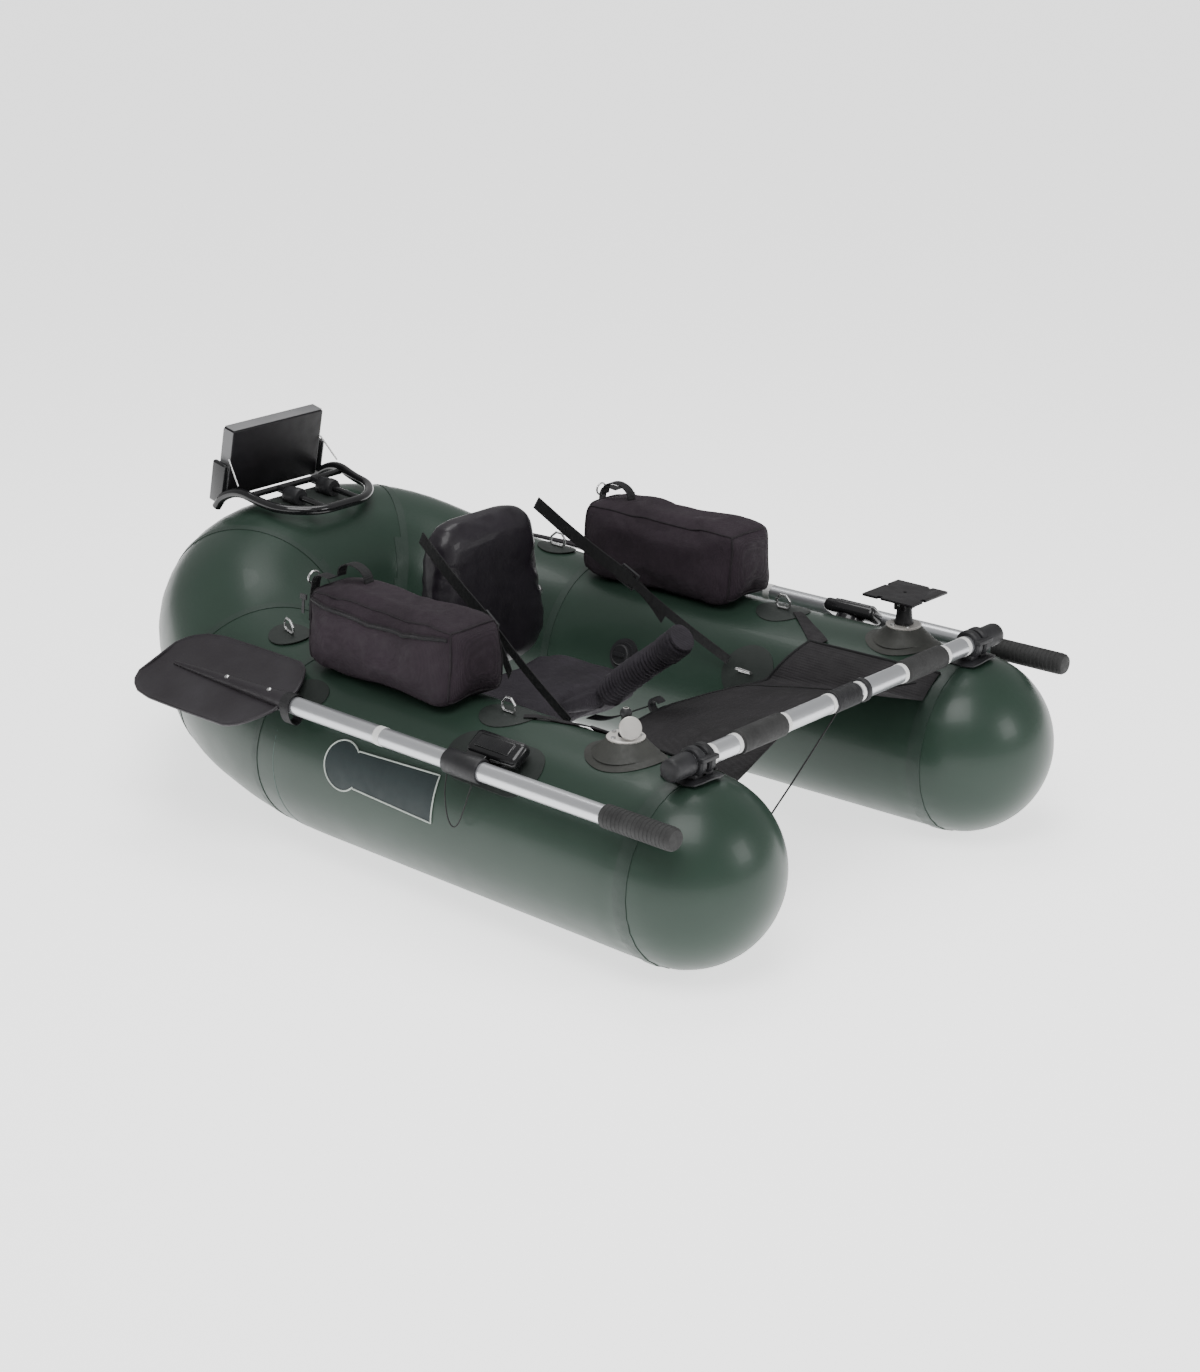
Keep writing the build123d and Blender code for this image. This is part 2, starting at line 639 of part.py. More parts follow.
def apron_clip():
    """Open C of plastic that holds the apron's edge to the seat's webbing."""
    ring = Cylinder(15.0, 16.0) - Cylinder(10.0, 20.0)
    ring -= Rot(0, 0, 20) * Pos(14, 0, 0) * Box(20, 7, 20)
    return Pos(*CLIP_AT) * Rot(90, 0, 0) * ring


def clip_webbing():
    a = (SEAT_BACK_X + SEAT_LENGTH + 0.5, 0, SEAT_BOTTOM + 3)
    b = (CLIP_AT[0] - 15.5, 0, CLIP_AT[2] - 4)
    return strap(a, b, WEBBING, WEB_T, (0, 1, 0))


def strap(a, b, width, thick, across):
    """Flat webbing from a to b, its width along across."""
    start, end = Vector(*a), Vector(*b)
    run = unit(end - start)
    face = Plane(origin=start, x_dir=unit(Vector(*across) - run * Vector(*across).dot(run)), z_dir=run)
    return extrude(face * Rectangle(width, thick), amount=(end - start).length)


STRAP_TOP = (SEAT_BACK_X - 20.0, BACK_HALF_TOP + 16.0, BACK_TOP - 40.0)
STRAP_LOW = (247.0, 213.0, 262.0)
BUCKLE_SHARE = 0.46


def back_strap():
    return strap(STRAP_TOP, STRAP_LOW, WEBBING, WEB_T, (0, 0, 1))


def strap_buckle():
    a, b = Vector(*STRAP_TOP), Vector(*STRAP_LOW)
    run = unit(b - a)
    middle = a + (b - a) * BUCKLE_SHARE
    up = unit(Vector(0, 0, 1) - run * run.Z)
    face = Plane(origin=middle, x_dir=run, z_dir=run.cross(up))
    frame = extrude(face.offset(WEB_T / 2) * RectangleRounded(46, 33, 5), amount=7)
    frame -= extrude(face.offset(WEB_T / 2) * Pos(9, 0) * Rectangle(7, 26), amount=7)
    return frame - extrude(face.offset(WEB_T / 2) * Pos(-9, 0) * Rectangle(7, 26), amount=7)


# ---------------------------------------------------------------- bags
BAG_BASE = TUBE_R + BAG_CLEAR
BAG_MID = BAG_AFT_X + BAG_LENGTH / 2
BAG_TOP = BAG_BASE + BAG_HEIGHT


def bag_block(inset):
    length = BAG_LENGTH - 2 * inset
    low, top = BAG_LOW_W / 2 - inset, BAG_TOP_W / 2 - inset
    plane = Plane(origin=(station(BAG_MID) - length / 2, 0, 0), x_dir=(0, 1, 0), z_dir=(1, 0, 0))
    base, crest = BAG_BASE + inset, BAG_BASE + BAG_HEIGHT - inset
    knee = BAG_BASE + 34
    right = [(low - 36, base), (low, knee), (top, crest)]
    left = [(-y, z) for y, z in reversed(right)]
    outline = Polyline(*right, *left, close=True)
    block = extrude(plane * make_face(outline), amount=length)
    return fillet(block.edges().filter_by(Axis.X), 14.0)


def bag():
    return port(bag_block(0.0) - bag_block(BAG_WALL))


def bag_loop():
    """Carry loop of webbing on the aft end of the bag's lid."""
    x = station(BAG_AFT_X + 62)
    plane = Plane(origin=(x, -10, BAG_TOP), x_dir=(1, 0, 0), z_dir=(0, -1, 0))
    outer = plane * Pos(0, 0) * Ellipse(34, 24)
    inner = plane * Ellipse(34 - 2.4, 24 - 2.4)
    arch = extrude(outer, amount=10, both=True) - extrude(inner, amount=11, both=True)
    return port(split(arch, bisect_by=Plane.XY.offset(BAG_TOP), keep=Keep.TOP))


ZIP_DROP = 26.0
ZIP_START = 26.0
ZIP_TRAVEL = BAG_LENGTH - 2 * ZIP_START


def zip_slider():
    """Slider and pull tab on the bag's outboard zip."""
    lean = math.degrees(math.atan2((BAG_LOW_W - BAG_TOP_W) / 2, BAG_HEIGHT - 34))
    z = BAG_TOP - ZIP_DROP
    y = BAG_TOP_W / 2 + ZIP_DROP * math.tan(math.radians(lean)) + GAP
    body = Box(15, 3.6, 9, align=(Align.CENTER, Align.MIN, Align.CENTER))
    tab = Pos(0, 1.2, -16) * Box(6, 1.6, 26, align=(Align.CENTER, Align.MIN, Align.CENTER))
    return port(Pos(station(BAG_AFT_X + ZIP_START), y, z) * Rot(lean, 0, 0) * (body + tab))


# ---------------------------------------------------------------- motor board
FRAME_Z = STERN[2] + STERN_R + 8.0
BOARD_FOOT_X = STERN[0] - 106.0
BOARD_FOOT_Z = STERN[2] + STERN_R + 4.0
BRACKET_W = 15.0


def board_place():
    return Pos(BOARD_FOOT_X, 0, BOARD_FOOT_Z) * Rot(0, BOARD_RAKE, 0)


def motor_board():
    board = Box(BOARD_T, BOARD_W, BOARD_H, align=(Align.CENTER, Align.CENTER, Align.MIN))
    board = chamfer(board.edges(), 1.5)
    return board_place() * board


def board_bracket():
    """Side bracket between the board and the frame's arm."""
    plate = Pos(0, BOARD_W / 2 + BRACKET_W / 2, 24) * Box(BOARD_T, BRACKET_W, 100)
    plate = board_place() * plate
    cut = Pos(0, 0, STERN[2]) * Pos(STERN[0], 0, 0) * along_y(STERN_R, 900)
    return plate - cut - frame_arm()


def arm_points():
    """Axis of the frame's port half, from the middle of the bow side to the bracket."""
    x = STERN[0]
    return [(x + 110, 0, FRAME_Z - 4), (x + 110, 62, FRAME_Z - 4), (x + 62, FRAME_HALF, FRAME_Z),
            (x + 10, FRAME_HALF + 5, FRAME_Z + 6), (x - 40, FRAME_HALF + 11, FRAME_Z + 20),
            (x - 88, FRAME_HALF + 12, FRAME_Z + 2), (x - 106, FRAME_HALF + 12.5, FRAME_Z - 22)]


def frame_arm():
    points = arm_points()
    path = FilletPolyline(*points, radius=16.0)
    return sweep(Plane(origin=path @ 0, z_dir=path % 0) * Circle(FRAME_R), path=path)


def stern_frame():
    """Bent tube frame in one piece: a loop with two arms, a cross tube and two fore-and-aft rods."""
    half = frame_arm()
    frame = half + mirror(half, Plane.XZ)
    frame += Pos(STERN[0] - 28, 0, FRAME_Z + 10) * along_y(ROD_R, 2 * FRAME_HALF)
    for side in (-1, 1):
        fore, aft = STERN[0] + 106, STERN[0] - 28
        frame += rod((fore, side * LUG_Y, FRAME_Z - 2), (aft, side * LUG_Y, FRAME_Z + 10), ROD_R)
    return frame


def stern_lug():
    """Strap lug glued to the stern tube, rolled round one of the frame's rods."""
    z = FRAME_Z + 4.0
    roll = Pos(STERN[0] - LUG_LENGTH / 2 + 20, LUG_Y, z) * along_x(LUG_R - 3, LUG_LENGTH)
    foot = Pos(STERN[0] + 20, LUG_Y, z - 14) * Box(LUG_LENGTH, 2 * LUG_R - 8, 28)
    hole = rod((STERN[0] + 106, LUG_Y, FRAME_Z - 2), (STERN[0] - 28, LUG_Y, FRAME_Z + 10), ROD_R)
    stern = Pos(STERN[0], 0, STERN[2]) * along_y(STERN_R + PATCH, 900)
    return roll + foot - hole - stern


def stern_patch():
    band = along_y(STERN_R + PATCH, 400) - along_y(STERN_R, 400)
    block = Pos(10, 0, STERN_R) * extrude(RectangleRounded(96, 168, 20), amount=60, both=True)
    return Pos(STERN[0], 0, STERN[2]) * (band & block)


def board_stay():
    """Thin wire stay between the board's edge and the frame's hump."""
    place = board_place()
    top = (place * Pos(BOARD_T / 2 - 3, BOARD_W / 2 + 2.2, 82)).position
    x, y, z = arm_points()[4]
    return rod((top.X, top.Y, top.Z), (x - 2, y + 1, z + FRAME_R), 1.6)


# ---------------------------------------------------------------- apron
def apron_profile(x, middle_z, meet_z):
    """Cross-section of the apron at one place: up both tubes, and slack between them."""
    y = AFT_Y + SPLAY * (x - AFT_X) / PONTOON_LENGTH
    radius = TUBE_R + PATCH + 1.0
    start = math.degrees(math.asin((meet_z - TUBE_R) / radius))
    rows = []
    for r, lift in ((radius, 0.0), (radius + APRON_T, APRON_T)):
        arc = []
        for a in (start, (start + APRON_TOP_ANGLE) / 2, APRON_TOP_ANGLE):
            arc.append((y - r * math.cos(math.radians(a)), TUBE_R + r * math.sin(math.radians(a))))
        rows.append(arc + [(APRON_FLAT, middle_z + lift)])
    low, high = rows
    low_far, high_far = [[(-p[0], p[1]) for p in row] for row in rows]
    plane = Plane(origin=(x, 0, 0), x_dir=(0, 1, 0), z_dir=(1, 0, 0))
    edges = [ThreePointArc(*low[:3]), Line(low[2], high[2]), ThreePointArc(*reversed(high[:3])),
             Line(high[0], high[3]), Line(high[3], high_far[3]), Line(high_far[3], high_far[0]),
             ThreePointArc(*high_far[:3]), Line(high_far[2], low_far[2]), ThreePointArc(*reversed(low_far[:3])),
             Line(low_far[0], low_far[3]), Line(low_far[3], low[3]), Line(low[3], low[0])]
    return plane * make_face(edges)


def apron():
    """Casting apron: one sheet from the inner rings to the bar."""
    aft = apron_profile(APRON_AFT, APRON_Z, APRON_Z)
    fore = apron_profile(APRON_FORE, APRON_FORE_Z, APRON_Z + 30)
    return loft([aft, fore], ruled=True)


# ---------------------------------------------------------------- cords
BAR_CORD = [(BAR_X - 3, -9, BAR_Z - 21.5), (BAR_X - 1, -40, BAR_Z - 43), (BAR_X + 3, -95, BAR_Z - 79),
            (BAR_X + 7, -150, BAR_Z - 114), (BAR_X + 9, -190, BAR_Z - 139), (BAR_X + 10, -215, BAR_Z - 157)]
# tie cord of the starboard oar, from and back to its sleeve
TIE_Y = -TUBE_R - AFT_Y - 32.0
TIE_X = ROWLOCK_X
TIE_CORD = [
    (TIE_X - 30, TIE_Y + 5, 270.0), (TIE_X - 32, TIE_Y + 1, 249.0), (TIE_X - 30, TIE_Y, 219.0),
    (TIE_X - 25, TIE_Y, 194.0), (TIE_X - 14, TIE_Y, 182.0), (TIE_X - 2, TIE_Y, 191.0),
    (TIE_X + 9, TIE_Y, 215.0), (TIE_X + 19, TIE_Y + 1, 243.0), (TIE_X + 25, TIE_Y + 5, 266.0),
]
EYE_ANGLE = 170.0


def cord_eye():
    """Small patch with an eye on the starboard nose, where the bar's cord is tied."""
    x = BAR_X + 10
    plane = tube_plane(x, EYE_ANGLE, TUBE_R - 2.0)
    stand = Plane(origin=plane.origin, x_dir=plane.z_dir, z_dir=plane.x_dir.cross(plane.z_dir))
    ring = stand * Pos(4, 0) * (Circle(5.0) - Circle(2.4))
    eye = extrude(ring, amount=1.5, both=True) - capsule(TUBE_R)
    return starboard(port(tube_patch(x, EYE_ANGLE, Circle(19)) + eye))


def cord_tube(points, radius):
    """Round cord: straight runs joined by the largest arcs that they allow."""
    vectors = [Vector(*p) for p in points]
    radii = []
    for a, b, c in zip(vectors, vectors[1:], vectors[2:]):
        turn = (b - a).get_angle(c - b)
        run = min((b - a).length, (c - b).length)
        radii.append(0.45 * run / math.tan(math.radians(turn / 2)))
    print("cord radii", [round(r) for r in radii])
    path = FilletPolyline(*points, radius=radii)
    tube = sweep(Plane(origin=path @ 0, z_dir=path % 0) * Circle(radius), path=path)
    full = math.pi * radius ** 2 * path.length
    print("cord length", round(path.length), "volume ratio", round(tube.volume / full, 4))
    return tube


def group(*solids):
    """Several separate pieces in one node."""
    return Compound(children=[piece for solid in solids for piece in solid.solids()])


def build():
    tube, quarter, corner, stern_tube = hull_panels()
    nodes = {
        "stern_tube": stern_tube, "nose_cones": both(nose_cap()),
        "quarter_panels": both(quarter), "corner_panels": both(corner),
    }
    pairs = {
        "pontoon": tube, "valve_cap": valve_cap(),
        "oar_blade": oar_blade(), "oar_bolts": oar_bolts(), "oar_shaft_rear": oar_shaft_rear(),
        "oar_shaft_front": oar_shaft_front(), "oar_grip": oar_grip(), "rowlock_sleeve": rowlock_sleeve(),
        "bag": bag(), "zip_slider": zip_slider(),
    }
    for name, solid in pairs.items():
        nodes[name + "_left"] = solid
        nodes[name + "_right"] = starboard(solid)
    cone = neck_socket(mount_base())
    nodes["bulkheads"] = both(bulkhead())
    nodes["valve_bodies"] = both(valve_body())
    nodes["ring_patches"] = ring_patches()
    nodes["d_rings"] = d_rings()
    nodes["front_bar"] = front_bar()
    nodes["bar_end_caps"] = both(bar_end_cap())
    nodes["bar_grips"] = both(bar_grip())
    nodes["bar_wrap"] = bar_wrap()
    nodes["bar_clamps"] = both(bar_clamp())
    nodes["mount_bases"] = both(cone)
    nodes["mount_flanges"] = group(flange(), starboard(flange()) + lock_boss())
    nodes["flange_screws"] = flange_screws()
    nodes["tray_neck"] = neck()
    nodes["tray_pin"] = tray_pin()
    nodes["instrument_tray"] = tray()
    nodes["rod_post"] = rod_post()
    nodes["lock_knob"] = lock_knob()
    nodes["rowlock_bases"] = both(rowlock_base())
    nodes["oar_pads"] = both(group(rowlock_pad(), keeper_pad()))
    nodes["seat_cushion"] = seat_cushion()
    nodes["backrest"] = backrest()
    nodes["crotch_sleeve"] = crotch_sleeve()
    nodes["apron_clip"] = apron_clip()
    nodes["webbing_straps"] = group(both(back_strap()), clip_webbing())
    nodes["strap_buckles"] = both(strap_buckle())
    nodes["bag_loops"] = both(bag_loop())
    nodes["motor_board"] = motor_board()
    nodes["board_brackets"] = both(board_bracket())
    nodes["board_stays"] = both(board_stay())
    nodes["stern_frame"] = stern_frame()
    nodes["stern_lugs"] = both(stern_lug())
    nodes["stern_patch"] = stern_patch()
    nodes["apron"] = apron()
    nodes["bar_cord"] = cord_tube(BAR_CORD, BAR_CORD_R)
    nodes["oar_tie_cord"] = cord_tube(TIE_CORD, LOOP_CORD_R)
    nodes["cord_eye"] = cord_eye()
    return nodes


def write(nodes):
    os.makedirs("parts", exist_ok=True)
    for name, solid in nodes.items():
        export_step(solid, "parts/" + name + ".step")
        print(name, len(solid.solids()), round(solid.volume / 1000, 1))


write(build())
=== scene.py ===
"""Looks of a fishing belly boat with a pair of oars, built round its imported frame.

Metres, +X to the open bow, +Y to port, +Z up, the ground at z = 0.
"""

from __future__ import annotations

import json
import logging
import math
from dataclasses import dataclass, field
from enum import Enum
from typing import Callable, Iterable, Sequence

import bpy
from mathutils import Matrix, Vector, noise

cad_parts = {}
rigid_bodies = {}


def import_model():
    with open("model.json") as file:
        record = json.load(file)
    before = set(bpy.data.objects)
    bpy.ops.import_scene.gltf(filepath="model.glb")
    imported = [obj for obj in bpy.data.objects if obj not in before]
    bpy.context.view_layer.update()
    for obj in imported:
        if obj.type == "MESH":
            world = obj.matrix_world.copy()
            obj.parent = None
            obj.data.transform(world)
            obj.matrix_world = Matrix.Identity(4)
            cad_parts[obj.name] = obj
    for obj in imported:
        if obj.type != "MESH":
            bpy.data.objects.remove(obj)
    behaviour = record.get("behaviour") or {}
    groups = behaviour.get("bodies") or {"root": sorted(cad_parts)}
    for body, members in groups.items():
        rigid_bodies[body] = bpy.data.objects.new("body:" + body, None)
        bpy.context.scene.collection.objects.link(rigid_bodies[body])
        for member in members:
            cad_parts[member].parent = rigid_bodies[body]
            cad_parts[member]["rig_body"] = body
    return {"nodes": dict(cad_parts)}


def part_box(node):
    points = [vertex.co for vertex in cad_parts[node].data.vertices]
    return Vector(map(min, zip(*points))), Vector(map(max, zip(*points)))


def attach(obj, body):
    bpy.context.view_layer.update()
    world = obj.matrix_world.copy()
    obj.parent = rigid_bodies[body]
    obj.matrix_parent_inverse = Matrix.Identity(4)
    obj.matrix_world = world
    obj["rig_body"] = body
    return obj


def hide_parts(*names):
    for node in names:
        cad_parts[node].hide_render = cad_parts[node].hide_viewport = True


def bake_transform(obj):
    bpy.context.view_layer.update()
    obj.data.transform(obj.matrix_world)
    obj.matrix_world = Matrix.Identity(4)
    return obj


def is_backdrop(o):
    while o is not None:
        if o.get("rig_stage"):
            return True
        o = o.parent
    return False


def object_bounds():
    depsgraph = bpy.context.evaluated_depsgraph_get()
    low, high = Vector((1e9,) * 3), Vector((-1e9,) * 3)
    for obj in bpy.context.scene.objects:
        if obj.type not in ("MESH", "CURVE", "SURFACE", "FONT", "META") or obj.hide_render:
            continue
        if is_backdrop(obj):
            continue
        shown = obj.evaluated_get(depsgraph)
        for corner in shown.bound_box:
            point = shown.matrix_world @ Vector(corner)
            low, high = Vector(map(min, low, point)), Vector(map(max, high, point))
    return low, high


LOG = logging.getLogger("belly_boat")
Place = Callable[[float, float], Vector]
PORT, STARBOARD = 1, -1
SIDES = {"left": PORT, "right": STARBOARD}
WAVE_PERIOD = math.pi / 10  # a wave texture's band spacing at scale 1
AFT_X = -0.214  # where the straight side tubes end
SPLAY = 0.028  # how much further out each side tube's axis is at the nose


# ------------------------------------------------------------------ finishes
class Weave(Enum):
    """How the threads of a finish lie."""

    NONE = "none"
    PLAIN = "plain"
    NET = "net"
    RIB_X = "rib_x"
    RIB_Y = "rib_y"


@dataclass(frozen=True)
class Finish:
    """A procedural finish on object coordinates.

    Colours are linear. Blotch and grain are patches per metre, depths are in metres.
    """

    name: str
    colour: tuple[float, float, float]
    second: tuple[float, float, float]
    rough: float = 0.5
    rough_spread: float = 0.08
    metallic: float = 0.0
    blotch: float = 9.0
    grain: float = 700.0
    grain_depth: float = 0.0
    weave: Weave = Weave.NONE
    pitch: float = 0.002
    weave_depth: float = 0.0004
    crumple: float = 0.0
    crumple_scale: float = 14.0
    sheen: float = 0.0
    coat: float = 0.0
    specular: float = 0.3

    def build(self) -> bpy.types.Material:
        """Make the material, or return it if it is there already.

        Returns:
            The material.
        """
        if self.name in bpy.data.materials:
            return bpy.data.materials[self.name]
        material = bpy.data.materials.new(self.name)
        material.use_nodes = True
        board = material.node_tree
        shader = board.nodes["Principled BSDF"]
        shader.inputs["Metallic"].default_value = self.metallic
        shader.inputs["Sheen Weight"].default_value = self.sheen
        shader.inputs["Coat Weight"].default_value = self.coat
        shader.inputs["Specular IOR Level"].default_value = self.specular
        place = board.nodes.new("ShaderNodeTexCoord").outputs["Object"]
        patches = self._noise(board, place, self.blotch, 4.0)
        mix = board.nodes.new("ShaderNodeMix")
        mix.data_type = "RGBA"
        mix.inputs["A"].default_value = (*self.colour, 1.0)
        mix.inputs["B"].default_value = (*self.second, 1.0)
        board.links.new(self._ramp(board, patches, 0.32, 0.68), mix.inputs["Factor"])
        colour = mix.outputs["Result"]
        height = None
        if self.weave is not Weave.NONE:
            threads = self._threads(board, place)
            height = self._scaled(board, threads, self.weave_depth)
            colour = self._shaded(board, colour, threads)
        if self.grain_depth:
            fine = self._scaled(board, self._noise(board, place, self.grain, 2.0), self.grain_depth)
            height = fine if height is None else self._sum(board, height, fine)
        if self.crumple:
            folds = self._scaled(board, self._noise(board, place, self.crumple_scale, 3.0, 0.8), self.crumple)
            height = folds if height is None else self._sum(board, height, folds)
        board.links.new(colour, shader.inputs["Base Color"])
        wear = self._noise(board, place, self.blotch * 6, 3.0)
        rough = self._ramp(board, wear, 0.3, 0.7, self.rough - self.rough_spread, self.rough + self.rough_spread)
        board.links.new(rough, shader.inputs["Roughness"])
        if height is not None:
            bump = board.nodes.new("ShaderNodeBump")
            bump.inputs["Distance"].default_value = 1.0
            board.links.new(height, bump.inputs["Height"])
            board.links.new(bump.outputs["Normal"], shader.inputs["Normal"])
        return material

    @staticmethod
    def _noise(board, place, scale: float, detail: float, twist: float = 0.0):
        """Add a noise texture and return its factor."""
        node = board.nodes.new("ShaderNodeTexNoise")
        node.inputs["Scale"].default_value = scale
        node.inputs["Detail"].default_value = detail
        node.inputs["Distortion"].default_value = twist
        board.links.new(place, node.inputs["Vector"])
        return node.outputs["Fac"]

    @staticmethod
    def _ramp(board, value, low: float, high: float, to_low: float = 0.0, to_high: float = 1.0):
        """Stretch a value from one range to another and return it."""
        node = board.nodes.new("ShaderNodeMapRange")
        for key, number in (("From Min", low), ("From Max", high), ("To Min", to_low), ("To Max", to_high)):
            node.inputs[key].default_value = number
        board.links.new(value, node.inputs["Value"])
        return node.outputs["Result"]

    @staticmethod
    def _math(board, operation: str, first, second):
        """Add a math node on two values, either of which may be a number, and return its result."""
        node = board.nodes.new("ShaderNodeMath")
        node.operation = operation
        for socket, value in zip(node.inputs, (first, second)):
            if isinstance(value, (int, float)):
                socket.default_value = value
            else:
                board.links.new(value, socket)
        return node.outputs["Value"]

    def _scaled(self, board, value, depth: float):
        """Return a value times a depth."""
        return self._math(board, "MULTIPLY", value, depth)

    def _sum(self, board, first, second):
        """Return the sum of two heights."""
        return self._math(board, "ADD", first, second)

    def _band(self, board, place, direction: str):
        """Add evenly spaced thread bands along one direction and return them."""
        node = board.nodes.new("ShaderNodeTexWave")
        node.bands_direction = direction
        node.inputs["Scale"].default_value = WAVE_PERIOD / self.pitch
        node.inputs["Distortion"].default_value = 0.6
        node.inputs["Detail"].default_value = 1.0
        board.links.new(place, node.inputs["Vector"])
        return node.outputs["Fac"]

    def _threads(self, board, place):
        """Return the height of the threads, from 0 to 1."""
        if self.weave is Weave.RIB_X:
            return self._band(board, place, "X")
        if self.weave is Weave.RIB_Y:
            return self._band(board, place, "Y")
        across = self._band(board, place, "Y")
        upward = self._band(board, place, "Z")
        cross = self._math(board, "MAXIMUM", across, upward)
        along = self._band(board, place, "X")
        operation = "MULTIPLY" if self.weave is Weave.PLAIN else "MAXIMUM"
        return self._math(board, operation, along, cross)

    def _shaded(self, board, colour, threads):
        """Darken the colour between the threads and return it."""
        floor = 0.45 if self.weave is Weave.NET else 0.7
        shade = self._ramp(board, threads, 0.0, 0.7, floor, 1.0)
        node = board.nodes.new("ShaderNodeMix")
        node.data_type = "RGBA"
        node.blend_type = "MULTIPLY"
        node.inputs["Factor"].default_value = 1.0
        board.links.new(colour, node.inputs["A"])
        board.links.new(shade, node.inputs["B"])
        return node.outputs["Result"]


PVC = Finish("green_pvc", (0.017, 0.034, 0.024), (0.023, 0.043, 0.031), rough=0.34, grain=900, grain_depth=0.000008,
             blotch=3.0, rough_spread=0.03, coat=0.06)
TAPE_PVC = Finish("green_seam_tape", (0.019, 0.033, 0.025), (0.025, 0.041, 0.032), rough=0.42, grain=1500,
                  grain_depth=0.00008, coat=0.04)
DARK_PVC = Finish("dark_patch_pvc", (0.014, 0.018, 0.016), (0.024, 0.029, 0.026), rough=0.52, grain=1400,
                  grain_depth=0.00008)
PANEL = Finish("side_panel", (0.011, 0.019, 0.020), (0.016, 0.026, 0.027), rough=0.5, grain=1400, grain_depth=0.00006)
OUTLINE = Finish("panel_outline", (0.36, 0.40, 0.37), (0.46, 0.50, 0.46), rough=0.55, grain=1400, grain_depth=0.00005)
BAG_CLOTH = Finish("bag_cloth_finish", (0.019, 0.0115, 0.0175), (0.029, 0.0185, 0.027), rough=0.74, weave=Weave.PLAIN,
                   pitch=0.0017, weave_depth=0.00045, crumple=0.006, crumple_scale=12.0)
PIPING = Finish("bag_piping", (0.011, 0.0075, 0.0105), (0.017, 0.012, 0.016), rough=0.7, weave=Weave.RIB_X,
                pitch=0.0016)
SEAT_CLOTH = Finish("seat_cloth_finish", (0.020, 0.017, 0.022), (0.034, 0.029, 0.037), rough=0.8, weave=Weave.PLAIN,
                    pitch=0.0018, crumple=0.004, crumple_scale=26.0)
LEATHER = Finish("backrest_skin", (0.0085, 0.0065, 0.0095), (0.014, 0.011, 0.0155), rough=0.42, grain=520,
                 grain_depth=0.00016, crumple=0.003, crumple_scale=9.0, coat=0.12)
MESH = Finish("apron_mesh", (0.010, 0.009, 0.010), (0.018, 0.016, 0.018), rough=0.7, weave=Weave.NET, pitch=0.0036,
              weave_depth=0.0006, crumple=0.004, crumple_scale=7.0)
BINDING = Finish("binding_tape", (0.007, 0.007, 0.008), (0.013, 0.013, 0.014), rough=0.6, weave=Weave.RIB_X,
                 pitch=0.0015)
WEBBING = Finish("black_webbing_finish", (0.010, 0.010, 0.011), (0.018, 0.018, 0.019), rough=0.62, weave=Weave.PLAIN,
                 pitch=0.0016, weave_depth=0.0005)
CORD = Finish("black_cord_finish", (0.010, 0.010, 0.010), (0.022, 0.022, 0.022), rough=0.6,
              weave=Weave.PLAIN, pitch=0.0011,
              weave_depth=0.0003)
ALLOY = Finish("brushed_alloy", (0.52, 0.53, 0.55), (0.62, 0.63, 0.65), rough=0.30, metallic=0.85, blotch=2.0,
               rough_spread=0.015)
STEEL = Finish("bright_steel", (0.60, 0.60, 0.60), (0.50, 0.50, 0.50), rough=0.24, metallic=0.95, grain=1600,
               grain_depth=0.00001, blotch=40)
WHITE_METAL = Finish("pale_cast_metal", (0.62, 0.60, 0.57), (0.52, 0.50, 0.47), rough=0.38, metallic=0.35, grain=900,
                     grain_depth=0.00006, blotch=40)
BLACK_TUBE = Finish("gloss_black_tube", (0.006, 0.006, 0.007), (0.010, 0.010, 0.011), rough=0.2, coat=0.5, blotch=30,
                    grain=900, grain_depth=0.00002)
GLOSS_BLACK = Finish("gloss_black_plastic", (0.007, 0.007, 0.008), (0.012, 0.012, 0.013), rough=0.22, coat=0.3,
                     blotch=26, grain=1200, grain_depth=0.00003)
BLACK_PLASTIC = Finish("black_moulding", (0.012, 0.012, 0.013), (0.020, 0.020, 0.022), rough=0.48, grain=1300,
                       grain_depth=0.00009, blotch=20)
BLADE_PLASTIC = Finish("blade_plastic", (0.019, 0.016, 0.019), (0.029, 0.026, 0.030), rough=0.42, grain=1100,
                       grain_depth=0.0001, blotch=12)
BOARD = Finish("board_face", (0.006, 0.005, 0.006), (0.010, 0.009, 0.011), rough=0.45, grain=900, grain_depth=0.0001)
BOARD_EDGE = Finish("board_edge", (0.15, 0.15, 0.155), (0.20, 0.20, 0.205), rough=0.5, grain=900, grain_depth=0.0001)
GREY_RUBBER = Finish("grey_rubber_finish", (0.030, 0.031, 0.028), (0.050, 0.051, 0.046), rough=0.55, grain=1000,
                     grain_depth=0.0001, blotch=18)
GRIP_FOAM = Finish("grip_foam", (0.020, 0.020, 0.020), (0.032, 0.032, 0.032), rough=0.7, grain=900,
                   grain_depth=0.0004, blotch=30)
WHITE_TAPE = Finish("white_band", (0.72, 0.72, 0.71), (0.60, 0.60, 0.59), rough=0.4, grain=1400, grain_depth=0.00004,
                    blotch=30)


# ------------------------------------------------------------------ bench tools
def deselect() -> None:
    """Leave edit mode and select nothing."""
    if bpy.context.mode != "OBJECT":
        bpy.ops.object.mode_set(mode="OBJECT")
    bpy.ops.object.select_all(action="DESELECT")


def pick(piece: bpy.types.Object) -> bpy.types.Object:
    """Select one piece alone and make it active.

    Args:
        piece: The piece.

    Returns:
        The same piece.
    """
    deselect()
    piece.select_set(True)
    bpy.context.view_layer.objects.active = piece
    return piece


def settle(name: str) -> bpy.types.Object:
    """Name the active object and put its place into its mesh.

    Args:
        name: The piece's name.

    Returns:
        The piece, at the origin.
    """
    deselect()
    piece = pick(bpy.context.view_layer.objects.active)
    bpy.ops.object.transform_apply(location=True, rotation=True, scale=True)
    piece.name = name
    piece.data.name = name
    return piece


